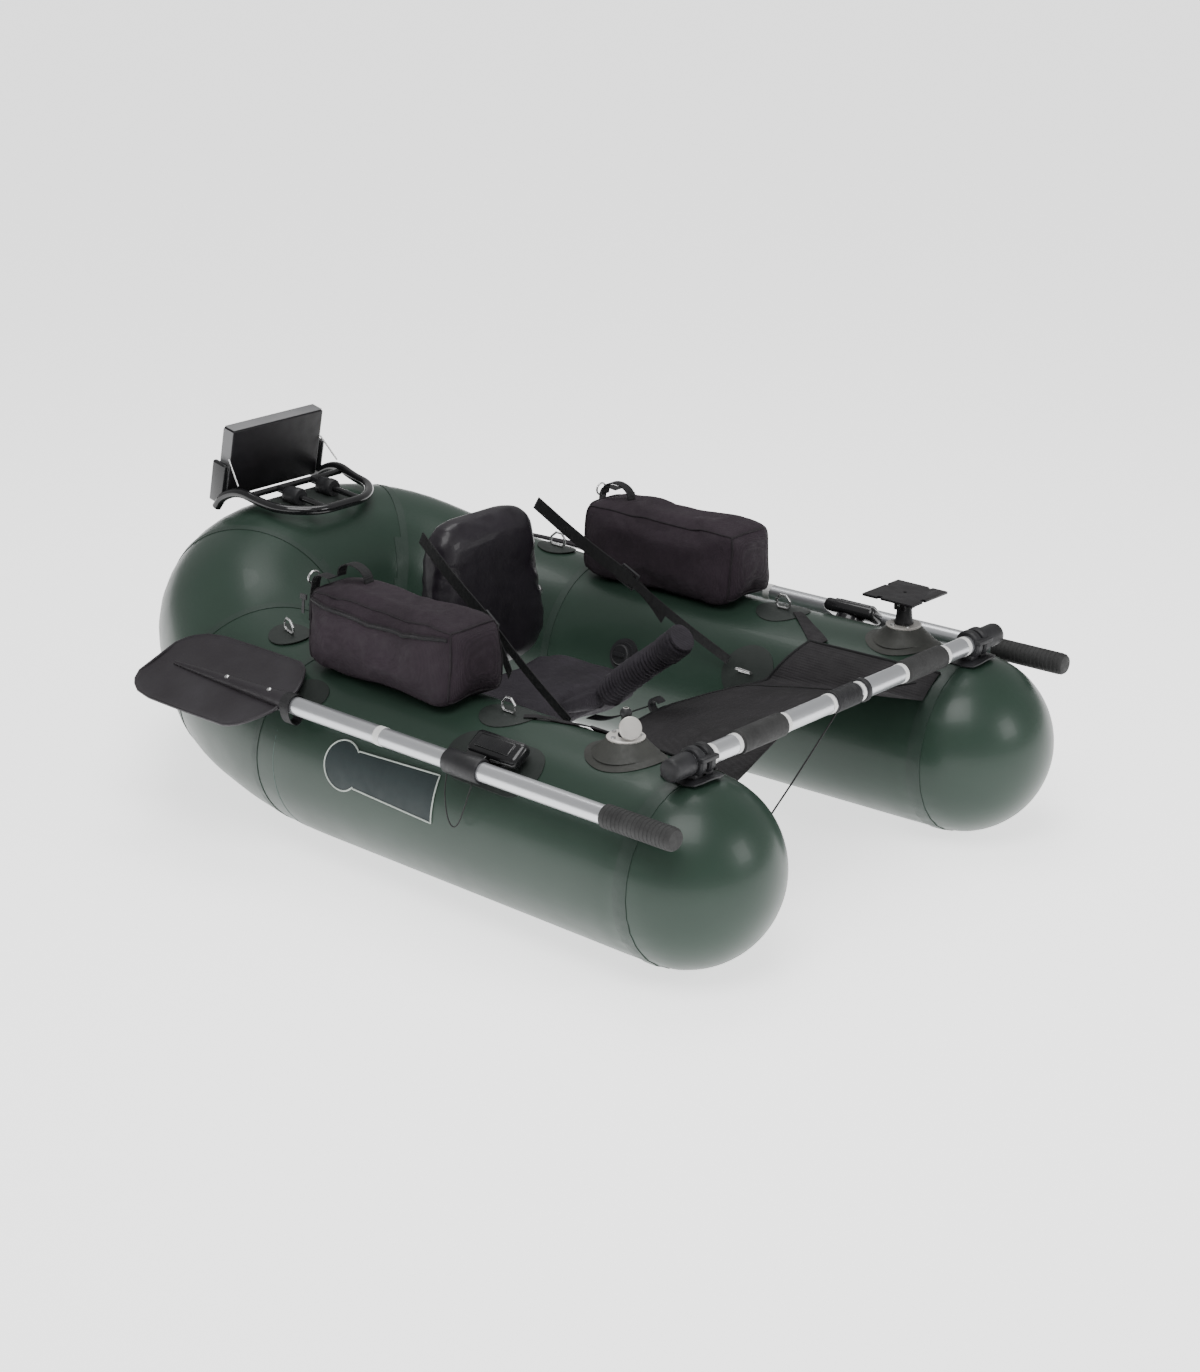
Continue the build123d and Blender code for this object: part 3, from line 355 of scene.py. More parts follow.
def modify(piece: bpy.types.Object, kind: str, **settings) -> bpy.types.Object:
    """Add a modifier and apply it.

    Args:
        piece: The piece to change.
        kind: The modifier's type.
        **settings: Its values.

    Returns:
        The same piece.
    """
    pick(piece)
    bpy.ops.object.modifier_add(type=kind)
    modifier = piece.modifiers[-1]
    for key, value in settings.items():
        setattr(modifier, key, value)
    bpy.ops.object.modifier_apply(modifier=modifier.name)
    return piece


def edit(piece: bpy.types.Object, *steps: Callable[[], object]) -> bpy.types.Object:
    """Run operators in edit mode on all of a piece.

    Args:
        piece: The piece to change.
        *steps: Calls made one after the other.

    Returns:
        The same piece.
    """
    pick(piece)
    bpy.ops.object.mode_set(mode="EDIT")
    bpy.ops.mesh.select_all(action="SELECT")
    for step in steps:
        step()
    bpy.ops.object.mode_set(mode="OBJECT")
    return piece


def reshape(piece: bpy.types.Object, move: Callable[[Vector], Vector]) -> bpy.types.Object:
    """Move every point of a mesh by a rule.

    Args:
        piece: The piece to change.
        move: Gives a point's new place.

    Returns:
        The same piece.
    """
    for vertex in piece.data.vertices:
        vertex.co = move(vertex.co.copy())
    piece.data.update()
    return piece


def tidy_mesh(piece: bpy.types.Object, distance: float = 0.00005) -> bpy.types.Object:
    """Merge doubles and turn the faces outwards.

    Args:
        piece: The piece to change.
        distance: How near points are merged.

    Returns:
        The same piece.
    """
    return edit(piece, lambda: bpy.ops.mesh.remove_doubles(threshold=distance),
                lambda: bpy.ops.mesh.normals_make_consistent(inside=False))


def softened(points: Sequence[Sequence[float]], rounds: int = 3) -> list[Vector]:
    """Cut a route's corners again and again until it is a smooth line.

    Args:
        points: The route's corners.
        rounds: How many times the corners are cut.

    Returns:
        The smooth line's points.
    """
    line = [Vector(p) for p in points]
    for _ in range(rounds):
        cut = [line[0]]
        for a, b in zip(line, line[1:]):
            cut += [a.lerp(b, 0.25), a.lerp(b, 0.75)]
        line = [*cut, line[-1]]
    return line


def walk(line: Sequence[Vector], share: float) -> Vector:
    """Find a point on a line.

    Args:
        line: The line's points.
        share: How far along it, from 0 to 1.

    Returns:
        The point.
    """
    steps = [(b - a).length for a, b in zip(line, line[1:])]
    left = max(0.0, min(1.0, share)) * sum(steps)
    for a, b, step in zip(line, line[1:], steps):
        if left <= step and step > 0:
            return a.lerp(b, left / step)
        left -= step
    return line[-1].copy()


def sweep(name: str, points: Sequence[Sequence[float]], radius: float | Sequence[float], sides: int = 16,
          cyclic: bool = False, smooth: bool = True) -> bpy.types.Object:
    """Round bar or tube along a line, with its thickness given at each point.

    Args:
        name: The piece's name.
        points: The line's points.
        radius: One radius, or one for each point.
        sides: Faces round the bar.
        cyclic: True for a closed loop.
        smooth: True to round the line's corners.

    Returns:
        The piece, as a mesh.
    """
    curve = bpy.data.curves.new(name, "CURVE")
    curve.dimensions = "3D"
    spline = curve.splines.new("NURBS" if smooth else "POLY")
    spline.points.add(len(points) - 1)
    radii = [radius] * len(points) if isinstance(radius, float) else radius
    for knot, place, size in zip(spline.points, points, radii):
        knot.co = (*place, 1.0)
        knot.radius = size
    spline.use_cyclic_u = cyclic
    if smooth:
        spline.order_u = 3
        spline.use_endpoint_u = not cyclic
        spline.resolution_u = 6
    curve.bevel_depth = 1.0
    curve.bevel_resolution = sides // 2 - 2
    curve.use_fill_caps = not cyclic
    piece = bpy.data.objects.new(name, curve)
    bpy.context.scene.collection.objects.link(piece)
    pick(piece)
    bpy.ops.object.convert(target="MESH")
    return tidy_mesh(bpy.context.view_layer.objects.active)


def turned(name: str, base: Vector, direction: Vector, profile: Sequence[tuple[float, float]],
           sides: int = 40) -> bpy.types.Object:
    """Lathe a round piece.

    Args:
        name: The piece's name.
        base: Where its axis starts.
        direction: Along its axis.
        profile: Heights and radii along the axis.
        sides: Faces round the piece.

    Returns:
        The piece.
    """
    axis = direction.normalized()
    least = 0.00002
    points, radii, height = [], [], None
    for rise, radius in profile:
        height = rise if height is None else max(rise, height + least)
        points.append(base + axis * height)
        radii.append(max(radius, least))
    return sweep(name, points, radii, sides, smooth=False)


def sheet(name: str, columns: int, rows: int, place: Place, thick: float = 0.0) -> bpy.types.Object:
    """Make a surface from a grid.

    Args:
        name: The piece's name.
        columns: Divisions along u.
        rows: Divisions along v.
        place: Gives the point for u and v, each from -1 to 1.
        thick: Wall thickness, laid on both sides.

    Returns:
        The piece.
    """
    deselect()
    bpy.ops.mesh.primitive_grid_add(x_subdivisions=columns, y_subdivisions=rows, size=2)
    piece = settle(name)
    reshape(piece, lambda p: place(p.x, p.y))
    if thick:
        modify(piece, "SOLIDIFY", thickness=thick, offset=0.0)
    return piece


def ribbon(name: str, points: Sequence[Sequence[float]], across: Callable[[float], Vector], width: float,
           thick: float = 0.0014, steps: int = 40) -> bpy.types.Object:
    """Lay a flat strap along a line.

    Args:
        name: The piece's name.
        points: The corners of the strap's line.
        across: Gives the strap's width direction at a share of its length.
        width: The strap's width.
        thick: Its thickness.
        steps: Divisions along it.

    Returns:
        The strap.
    """
    line = softened(points)

    def place(u: float, v: float) -> Vector:
        """Return the point for a place in the piece."""
        share = (u + 1) / 2
        return walk(line, share) + across(share).normalized() * (v * width / 2)

    return sheet(name, steps, 4, place, thick)


def block(name: str, size: Sequence[float], centre: Sequence[float], turn: Matrix | None = None,
          bevel: float = 0.002, segments: int = 3) -> bpy.types.Object:
    """Box with rounded edges.

    Args:
        name: The piece's name.
        size: Its length along each of its own axes.
        centre: Its middle.
        turn: Its rotation.
        bevel: How far its edges are rounded.
        segments: Faces across a rounded edge.

    Returns:
        The piece.
    """
    deselect()
    bpy.ops.mesh.primitive_cube_add(size=1)
    piece = settle(name)
    piece.data.transform(Matrix.Diagonal((*size, 1.0)))
    edit(piece, lambda: bpy.ops.mesh.bevel(offset=bevel, segments=segments, affect="EDGES"))
    if turn is not None:
        piece.data.transform(turn)
    piece.data.transform(Matrix.Translation(Vector(centre)))
    return piece


def joined(name: str, pieces: Iterable[bpy.types.Object]) -> bpy.types.Object:
    """Join pieces into one.

    Args:
        name: The result's name.
        pieces: The pieces, which are used up.

    Returns:
        The one piece.
    """
    pieces = list(pieces)
    pick(pieces[0])
    for piece in pieces[1:]:
        piece.select_set(True)
    bpy.ops.object.join()
    return settle(name)


def mirrored(piece: bpy.types.Object, name: str) -> bpy.types.Object:
    """Copy a port piece to starboard.

    Args:
        piece: The port piece.
        name: The copy's name.

    Returns:
        The copy, with its own mesh.
    """
    copy = bpy.data.objects.new(name, piece.data.copy())
    bpy.context.scene.collection.objects.link(copy)
    copy.data.transform(Matrix.Diagonal((1.0, -1.0, 1.0, 1.0)))
    copy.data.flip_normals()
    return copy


def present(piece: bpy.types.Object, finish: Finish, body: str = "hull",
            nodes: Sequence[str] = (), angle: float = 40.0) -> bpy.types.Object:
    """Dress a finished piece and put it on its body.

    Args:
        piece: The piece.
        finish: Its finish.
        body: The body that it rides on.
        nodes: The CAD nodes that it stands for.
        angle: Edges sharper than this many degrees stay sharp.

    Returns:
        The same piece.
    """
    pick(piece)
    if piece.type == "MESH":
        bpy.ops.object.shade_smooth_by_angle(angle=math.radians(angle))
    piece.data.materials.clear()
    piece.data.materials.append(finish.build())
    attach(piece, body)
    if nodes:
        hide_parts(*nodes)
    LOG.info("%s rides on %s", piece.name, body)
    return piece


def both_sides(piece: bpy.types.Object, finish: Finish, nodes: Sequence[str] = ()) -> None:
    """Dress a port piece on the hull and its starboard copy.

    Args:
        piece: The port piece, whose name ends in _left.
        finish: Their finish.
        nodes: The CAD nodes that the pair stands for.
    """
    copy = mirrored(piece, piece.name.replace("_left", "_right"))
    for one in (piece, copy):
        present(one, finish, nodes=nodes)


def repaint(frame: dict, finish: Finish, *nodes: str) -> None:
    """Give CAD nodes a better finish.

    Args:
        finish: The finish.
        *nodes: The nodes' names.
    """
    for name in nodes:
        node = frame["nodes"][name]
        for slot in node.material_slots:
            slot.material = finish.build()


def inflate(piece: bpy.types.Object, voxel: float, cap: float, pressure: float = 4.0) -> bpy.types.Object:
    """Swell a closed shape as padded fabric by cloth simulation.

    Args:
        piece: The closed shape, a little smaller than the pad.
        voxel: The size of the remeshed faces.
        cap: How far a point may move.
        pressure: The air's pressure.

    Returns:
        The same piece, with the simulation applied.
    """
    modify(piece, "REMESH", mode="VOXEL", voxel_size=voxel)
    start = [v.co.copy() for v in piece.data.vertices]
    pick(piece)
    bpy.ops.object.modifier_add(type="CLOTH")
    cloth = piece.modifiers[-1]
    cloth.settings.use_pressure = True
    cloth.settings.uniform_pressure_force = pressure
    cloth.settings.effector_weights.gravity = 0.0
    cloth.settings.tension_stiffness = 12.0
    cloth.settings.bending_stiffness = 1.5
    for step in range(1, 19):
        bpy.context.scene.frame_set(step)
    bpy.ops.object.modifier_apply(modifier=cloth.name)
    bpy.context.scene.frame_set(1)
    for vertex, old in zip(piece.data.vertices, start):
        way = vertex.co - old
        if way.length > cap:
            vertex.co = old + way * (cap / way.length)
    piece.data.update()
    return modify(piece, "SMOOTH", factor=0.5, iterations=3)


def ripple(point: Vector, scale: float) -> float:
    """Return smooth noise from -1 to 1 at a point, with scale waves per metre."""
    return noise.noise(point * scale)


# ------------------------------------------------------------------ side tubes' geometry
@dataclass(frozen=True)
class Pontoon:
    """The port side tube's straight stretch, as the frame has it."""

    radius: float
    aft: Vector
    nose: Vector

    @property
    def along(self) -> Vector:
        """Direction of the axis, towards the nose."""
        return (self.nose - self.aft).normalized()

    def normal(self, angle: float) -> Vector:
        """Return the way out of the tube at an angle, 0 outboard, 90 up and 180 inboard."""
        turn = math.radians(angle)
        out = Vector((-self.along.y, self.along.x, 0.0))
        return out * math.cos(turn) + Vector((0.0, 0.0, math.sin(turn)))

    def axis_at(self, x: float) -> Vector:
        """Return the axis point at a place along the boat."""
        return self.aft + self.along * ((x - self.aft.x) / self.along.x)

    def point(self, x: float, angle: float, lift: float = 0.0) -> Vector:
        """Return a point on the tube, or lifted off it.

        Args:
            x: Place along the boat.
            angle: Place round the tube in degrees.
            lift: Height above the tube.

        Returns:
            The point.
        """
        return self.axis_at(x) + self.normal(angle) * (self.radius + lift)


def port_pontoon() -> Pontoon:
    """Read the port tube from the frame.

    Returns:
        The tube's geometry.
    """
    low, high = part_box("pontoon_left")
    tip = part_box("nose_cones")[1]
    radius = (high.z - low.z) / 2
    nose = Vector((tip.x - radius, tip.y - radius, radius))
    aft = Vector((AFT_X, nose.y - SPLAY, radius))
    return Pontoon(radius, aft, nose)


# ------------------------------------------------------------------ hull
@dataclass
class Hull:
    """The U-shaped skin of the boat with its seams and side panels."""

    tube: Pontoon
    bend: Vector = field(default_factory=lambda: Vector((-0.443, 0.296, 0.188)))
    stern: Vector = field(default_factory=lambda: Vector((-0.630, 0.158, 0.274)))
    bend_radius: float = 0.166
    stern_radius: float = 0.175
    turn_radii: tuple[float, float, float] = (0.80, 0.40, 0.20)
    step: float = 0.024
    fine_step: float = 0.006
    fine_length: float = 0.10
    sides: int = 128
    puckers: int = 31
    pucker_depth: float = 0.0016
    tape_width: float = 0.030
    panel_x: float = 0.006
    panel_ring: float = 0.043
    panel_length: float = 0.222

    def build(self) -> None:
        """Make and dress every piece of the hull."""
        skin = self.skin()
        for name, centre, way in self.seams():
            both_sides(self.tape(skin, name + "_left", centre, way), TAPE_PVC)
        present(skin, PVC, nodes=("pontoon_left", "pontoon_right", "nose_cones", "quarter_panels",
                                              "corner_panels", "stern_tube"))
        both_sides(self.panel("side_panel_left", 0.0008), PANEL)
        both_sides(self.outline(), OUTLINE)

    def centreline(self) -> list[Vector]:
        """Work out the port half of the tubes' centreline, from the nose to the middle of the stern.

        Returns:
            Its points, close together at the nose.
        """
        corners = [self.tube.nose, self.tube.aft, self.bend, self.stern, Vector((self.stern.x, 0, self.stern.z))]
        points, start = [], corners[0]
        reach = self.fine_length
        while reach > 0:
            points.append(corners[0] + self.tube.along * (-(self.fine_length - reach)))
            reach -= self.fine_step
        start = points[-1]
        for (a, b, c), radius in zip(zip(corners, corners[1:], corners[2:]), self.turn_radii):
            came, goes = (b - a).normalized(), (c - b).normalized()
            turn = came.angle(goes)
            tangent = radius * math.tan(turn / 2)
            arc_start, arc_end = b - came * tangent, b + goes * tangent
            points += self.run(start, arc_start)
            centre = b + (goes - came).normalized() * (radius / math.cos(turn / 2))
            spoke, axis = arc_start - centre, came.cross(goes)
            pieces = max(3, round(radius * turn / self.step))
            for i in range(1, pieces + 1):
                points.append(centre + Matrix.Rotation(turn * i / pieces, 3, axis) @ spoke)
            start = arc_end
        return points + self.run(start, corners[-1])

    def run(self, start: Vector, end: Vector) -> list[Vector]:
        """Return evenly spaced points from start, left out, to end."""
        count = max(1, round((end - start).length / self.step))
        return [start.lerp(end, i / count) for i in range(1, count + 1)]

    def radius_at(self, point: Vector) -> float:
        """Return the tube's radius at a centreline point."""
        stops = [(self.tube.aft.x, self.tube.radius), (self.bend.x, self.bend_radius),
                 (self.stern.x, self.stern_radius)]
        if point.x >= stops[0][0]:
            return self.tube.radius
        for (x0, r0), (x1, r1) in zip(stops, stops[1:]):
            if point.x >= x1:
                return r0 + (r1 - r0) * (x0 - point.x) / (x0 - x1)
        return self.stern_radius

    def skin(self) -> bpy.types.Object:
        """Make the whole skin in one piece, with puckers beside the nose seams.

        Returns:
            The skin.
        """
        half = self.centreline()
        rounds = 22
        dome = []
        for i in range(rounds, 0, -1):
            turn = math.pi / 2 * i / rounds
            dome.append((self.tube.nose + self.tube.along * (self.tube.radius * math.sin(turn)),
                         self.tube.radius * max(math.cos(turn), 0.0001)))
        port = dome + [(p, self.radius_at(p)) for p in half]
        starboard = [(Vector((p.x, -p.y, p.z)), r) for p, r in reversed(port[:-1])]
        line = port + starboard
        skin = sweep("hull_skin", [p for p, _ in line], [r for _, r in line], self.sides, smooth=False)
        return reshape(skin, self.puckered)

    def puckered(self, point: Vector) -> Vector:
        """Move a skin point for the small puckers beside a nose seam."""
        side = PORT if point.y > 0 else STARBOARD
        port = Vector((point.x, point.y * side, point.z))
        centre = self.tube.axis_at(port.x)
        away = port - centre
        reach = (port - self.tube.nose).dot(self.tube.along)
        if reach < -0.12 or reach > 0.09 or away.length < 0.05:
            return point
        turn = math.atan2(away.z, away.y)
        beside = math.exp(-((reach + 0.022) / 0.024) ** 2) + 0.7 * math.exp(-((reach - 0.024) / 0.018) ** 2)
        wave = math.cos(self.puckers * turn + 2.4 * ripple(port, 9.0)) * (0.6 + 0.4 * ripple(port, 21.0))
        moved = port + away.normalized() * (self.pucker_depth * beside * (wave - 0.6))
        return Vector((moved.x, moved.y * side, moved.z))

    def seams(self) -> list[tuple[str, Vector, Vector]]:
        """Return each glued seam's name, middle and direction."""
        corners = [self.tube.nose, self.tube.aft, self.bend, self.stern, Vector((self.stern.x, -self.stern.y,
                                                                                self.stern.z))]
        ways = [(b - a).normalized() for a, b in zip(corners, corners[1:])]
        found = [("nose_seam", corners[0], ways[0])]
        names = ("pontoon_seam", "quarter_seam", "stern_seam")
        for name, place, came, goes in zip(names, corners[1:], ways, ways[1:]):
            found.append((name, place, (came + goes).normalized()))
        return found

    def tape(self, skin: bpy.types.Object, name: str, centre: Vector, way: Vector) -> bpy.types.Object:
        """Cut a seam tape out of a copy of the skin and give it a thickness.

        Args:
            skin: The hull's skin.
            name: The tape's name.
            centre: The seam's middle.
            way: Across the seam.

        Returns:
            The tape.
        """
        tape = bpy.data.objects.new(name, skin.data.copy())
        bpy.context.scene.collection.objects.link(tape)
        for shift, clear in ((-self.tape_width / 2, "inner"), (self.tape_width / 2, "outer")):
            cut = {"clear_inner": clear == "inner", "clear_outer": clear == "outer"}
            edit(tape, lambda: bpy.ops.mesh.bisect(plane_co=centre + way * shift, plane_no=way, **cut))
        for vertex in tape.data.vertices:
            vertex.select = (vertex.co - centre).length > 0.23
        for polygon in tape.data.polygons:
            polygon.select = any(tape.data.vertices[i].select for i in polygon.vertices)
        pick(tape)
        bpy.ops.object.mode_set(mode="EDIT")
        bpy.ops.mesh.select_mode(type="VERT")
        bpy.ops.mesh.delete(type="VERT")
        bpy.ops.object.mode_set(mode="OBJECT")
        return modify(tape, "SOLIDIFY", thickness=0.0014, offset=0.6)

    def panel_half(self, x: float) -> float:
        """Return the side panel's half-height in degrees round the tube, at x from its ring's middle."""
        ring = math.sqrt(max(0.0, 1 - (x / self.panel_ring) ** 2)) * math.degrees(self.panel_ring / self.tube.radius)
        return ring if x < 0.75 * self.panel_ring else 11.0 + 3.5 * (x / self.panel_length)

    def panel(self, name: str, lift: float) -> bpy.types.Object:
        """Glue the keyhole-shaped panel on the outboard side.

        Args:
            name: The piece's name.
            lift: Its height off the tube.

        Returns:
            The panel.
        """
        def place(u: float, v: float) -> Vector:
            """Return the point for a place in the piece."""
            x = -self.panel_ring + (self.panel_length + self.panel_ring) * (u + 1) / 2
            return self.tube.point(self.panel_x + x, 17.0 + v * self.panel_half(x), lift)

        piece = sheet(name, 48, 24, place)
        return modify(piece, "SOLIDIFY", thickness=0.0010, offset=0.0)

    def outline(self) -> bpy.types.Object:
        """Make the pale line round the side panel and the ring at its aft end.

        Returns:
            The line and the ring in one piece.
        """
        stops = [-self.panel_ring * math.cos(math.pi * i / 40) for i in range(40)]
        stops = [x for x in stops if x < 0.75 * self.panel_ring]
        stops += [0.76 * self.panel_ring + (self.panel_length - 0.76 * self.panel_ring) * i / 30 for i in range(31)]
        upper = [(x, self.panel_half(x)) for x in stops]
        closed = upper + [(self.panel_length, 14.5 - 29.0 * i / 12) for i in range(1, 12)]
        closed += [(x, -half) for x, half in reversed(upper[1:])]
        line = [self.tube.point(self.panel_x + x, 17.0 + angle, 0.0014) for x, angle in closed]
        return sweep("panel_outline_left", line, 0.0014, 8, cyclic=True, smooth=False)


# ------------------------------------------------------------------ cords
@dataclass
class Cords:
    """The two free cords: one tied to the middle of the bar, and the oar's tie cord."""

    def build(self) -> None:
        """Make and dress both cords."""
        bar = [(0.657, -0.009, 0.3255), (0.659, -0.040, 0.304), (0.663, -0.095, 0.268), (0.667, -0.150, 0.233),
               (0.669, -0.190, 0.208), (0.670, -0.215, 0.190)]
        tie = [(0.274, -0.538, 0.270), (0.272, -0.542, 0.249), (0.274, -0.543, 0.219), (0.279, -0.543, 0.194),
               (0.290, -0.543, 0.182), (0.302, -0.543, 0.191), (0.313, -0.543, 0.215), (0.323, -0.542, 0.243),
               (0.329, -0.538, 0.266)]
        self.cord("bar_tie_line", bar, 0.003, "hull", "bar_cord")
        self.cord("oar_tie_line", tie, 0.0022, "rowlock_right", "oar_tie_cord")

    def cord(self, name: str, route: list[tuple[float, float, float]], diameter: float,
             body: str, node: str) -> None:
        """Make one cord as a curve.

        Args:
            name: The cord's name.
            route: Its control points.
            diameter: Its thickness.
            body: The body it rides on.
            node: The CAD node it stands for.
        """
        curve = bpy.data.curves.new(name, "CURVE")
        curve.dimensions = "3D"
        spline = curve.splines.new("NURBS")
        spline.points.add(len(route) - 1)
        for knot, place in zip(spline.points, route):
            knot.co = (*place, 1.0)
        spline.order_u = 3
        spline.use_endpoint_u = True
        spline.resolution_u = 10
        curve.bevel_depth = diameter / 2
        curve.bevel_resolution = 4
        curve.use_fill_caps = True
        piece = bpy.data.objects.new(name, curve)
        bpy.context.scene.collection.objects.link(piece)
        present(piece, CORD, body, (node,))


# ------------------------------------------------------------------ studio
@dataclass
class Studio:
    """Pale floor, soft lights and the camera."""

    eye: tuple[float, float, float] = (3.294, -3.580, 1.954)
    target: tuple[float, float, float] = (0.1265, 0.0, 0.241)
    lens: float = 75.08
    floor_size: float = 90.0

    def build(self) -> None:
        """Set the stage."""
        deselect()
        bpy.ops.mesh.primitive_plane_add(size=self.floor_size)
        floor = settle("studio_floor")
        floor.data.materials.append(self.floor_finish())
        floor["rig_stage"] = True
        world = bpy.data.worlds.new("studio_world")
        world.use_nodes = True
        back = world.node_tree.nodes["Background"]
        back.inputs["Color"].default_value = (1.0, 1.0, 1.0, 1.0)
        back.inputs["Strength"].default_value = 0.45
        bpy.context.scene.world = world
        self.light("key_light", (1.2, -1.4, 3.2), 2.0, 78.0)
        self.light("top_light", (-0.6, 0.6, 3.4), 1.8, 46.0)
        self.light("bow_light", (3.4, 0.8, 1.5), 1.1, 26.0)
        self.camera()

    def floor_finish(self) -> bpy.types.Material:
        """Return the floor's plain white finish."""
        material = bpy.data.materials.new("studio_floor")
        material.use_nodes = True
        shader = material.node_tree.nodes["Principled BSDF"]
        shader.inputs["Base Color"].default_value = (0.95, 0.95, 0.95, 1.0)
        shader.inputs["Roughness"].default_value = 0.9
        shader.inputs["Emission Color"].default_value = (1.0, 1.0, 1.0, 1.0)
        shader.inputs["Emission Strength"].default_value = 1.6
        return material

    def light(self, name: str, place: tuple[float, float, float], size: float, power: float) -> None:
        """Hang a soft square light that looks at the boat.

        Args:
            name: The light's name.
            place: Where it hangs.
            size: Its side.
            power: Its power in watts.
        """
        lamp = bpy.data.lights.new(name, "AREA")
        lamp.size = size
        lamp.energy = power
        holder = bpy.data.objects.new(name, lamp)
        bpy.context.scene.collection.objects.link(holder)
        holder.location = place
        holder.rotation_euler = (Vector(self.target) - Vector(place)).to_track_quat("-Z", "Y").to_euler()

    def camera(self) -> None:
        """Place the camera at the usual viewing angle."""
        lens = bpy.data.cameras.new("camera")
        lens.lens = self.lens
        lens.sensor_width = 36.0
        holder = bpy.data.objects.new("camera", lens)
        bpy.context.scene.collection.objects.link(holder)
        holder.location = self.eye
        holder.rotation_euler = (Vector(self.target) - Vector(self.eye)).to_track_quat("-Z", "Y").to_euler()
        bpy.context.scene.camera = holder


# ------------------------------------------------------------------ soft goods
def pillow(name: str, cuts: int, place: Callable[[Vector], Vector], roundness: float = 8.0) -> bpy.types.Object:
    """Make a closed block whose corners are rounded, ready to be shaped.

    Args:
        name: The piece's name.
        cuts: Divisions along each edge.
        place: Gives the point for a place in the block, each coordinate from -1 to 1.
        roundness: High for crisp corners, low for round ones.

    Returns:
        The piece.
    """
    deselect()
    bpy.ops.mesh.primitive_cube_add(size=2)
    piece = settle(name)
    edit(piece, lambda: bpy.ops.mesh.subdivide(number_cuts=cuts))

    def rounded(point: Vector) -> Vector:
        """Round the block's corners and place the point."""
        size = max(abs(point.x), abs(point.y), abs(point.z))
        norm = sum(abs(c) ** roundness for c in point) ** (1 / roundness)
        return place(point * (size / norm))

    return reshape(piece, rounded)


def laid_on(piece: bpy.types.Object, points: Iterable[Vector], lift: float) -> list[Vector]:
    """Drop points onto a piece.

    Args:
        piece: The mesh that they land on.
        points: The points.
        lift: How far off the surface they stay.

    Returns:
        The points on the surface.
    """
    landed = []
    for point in points:
        found, place, normal, _ = piece.closest_point_on_mesh(point)
        landed.append(place + normal * lift if found else point)
    return landed


def closed_route(corners: Sequence[Vector], between: int) -> list[Vector]:
    """Return points evenly spread along the sides of a closed outline."""
    return [a.lerp(b, i / between) for a, b in zip(corners, [*corners[1:], corners[0]]) for i in range(between)]


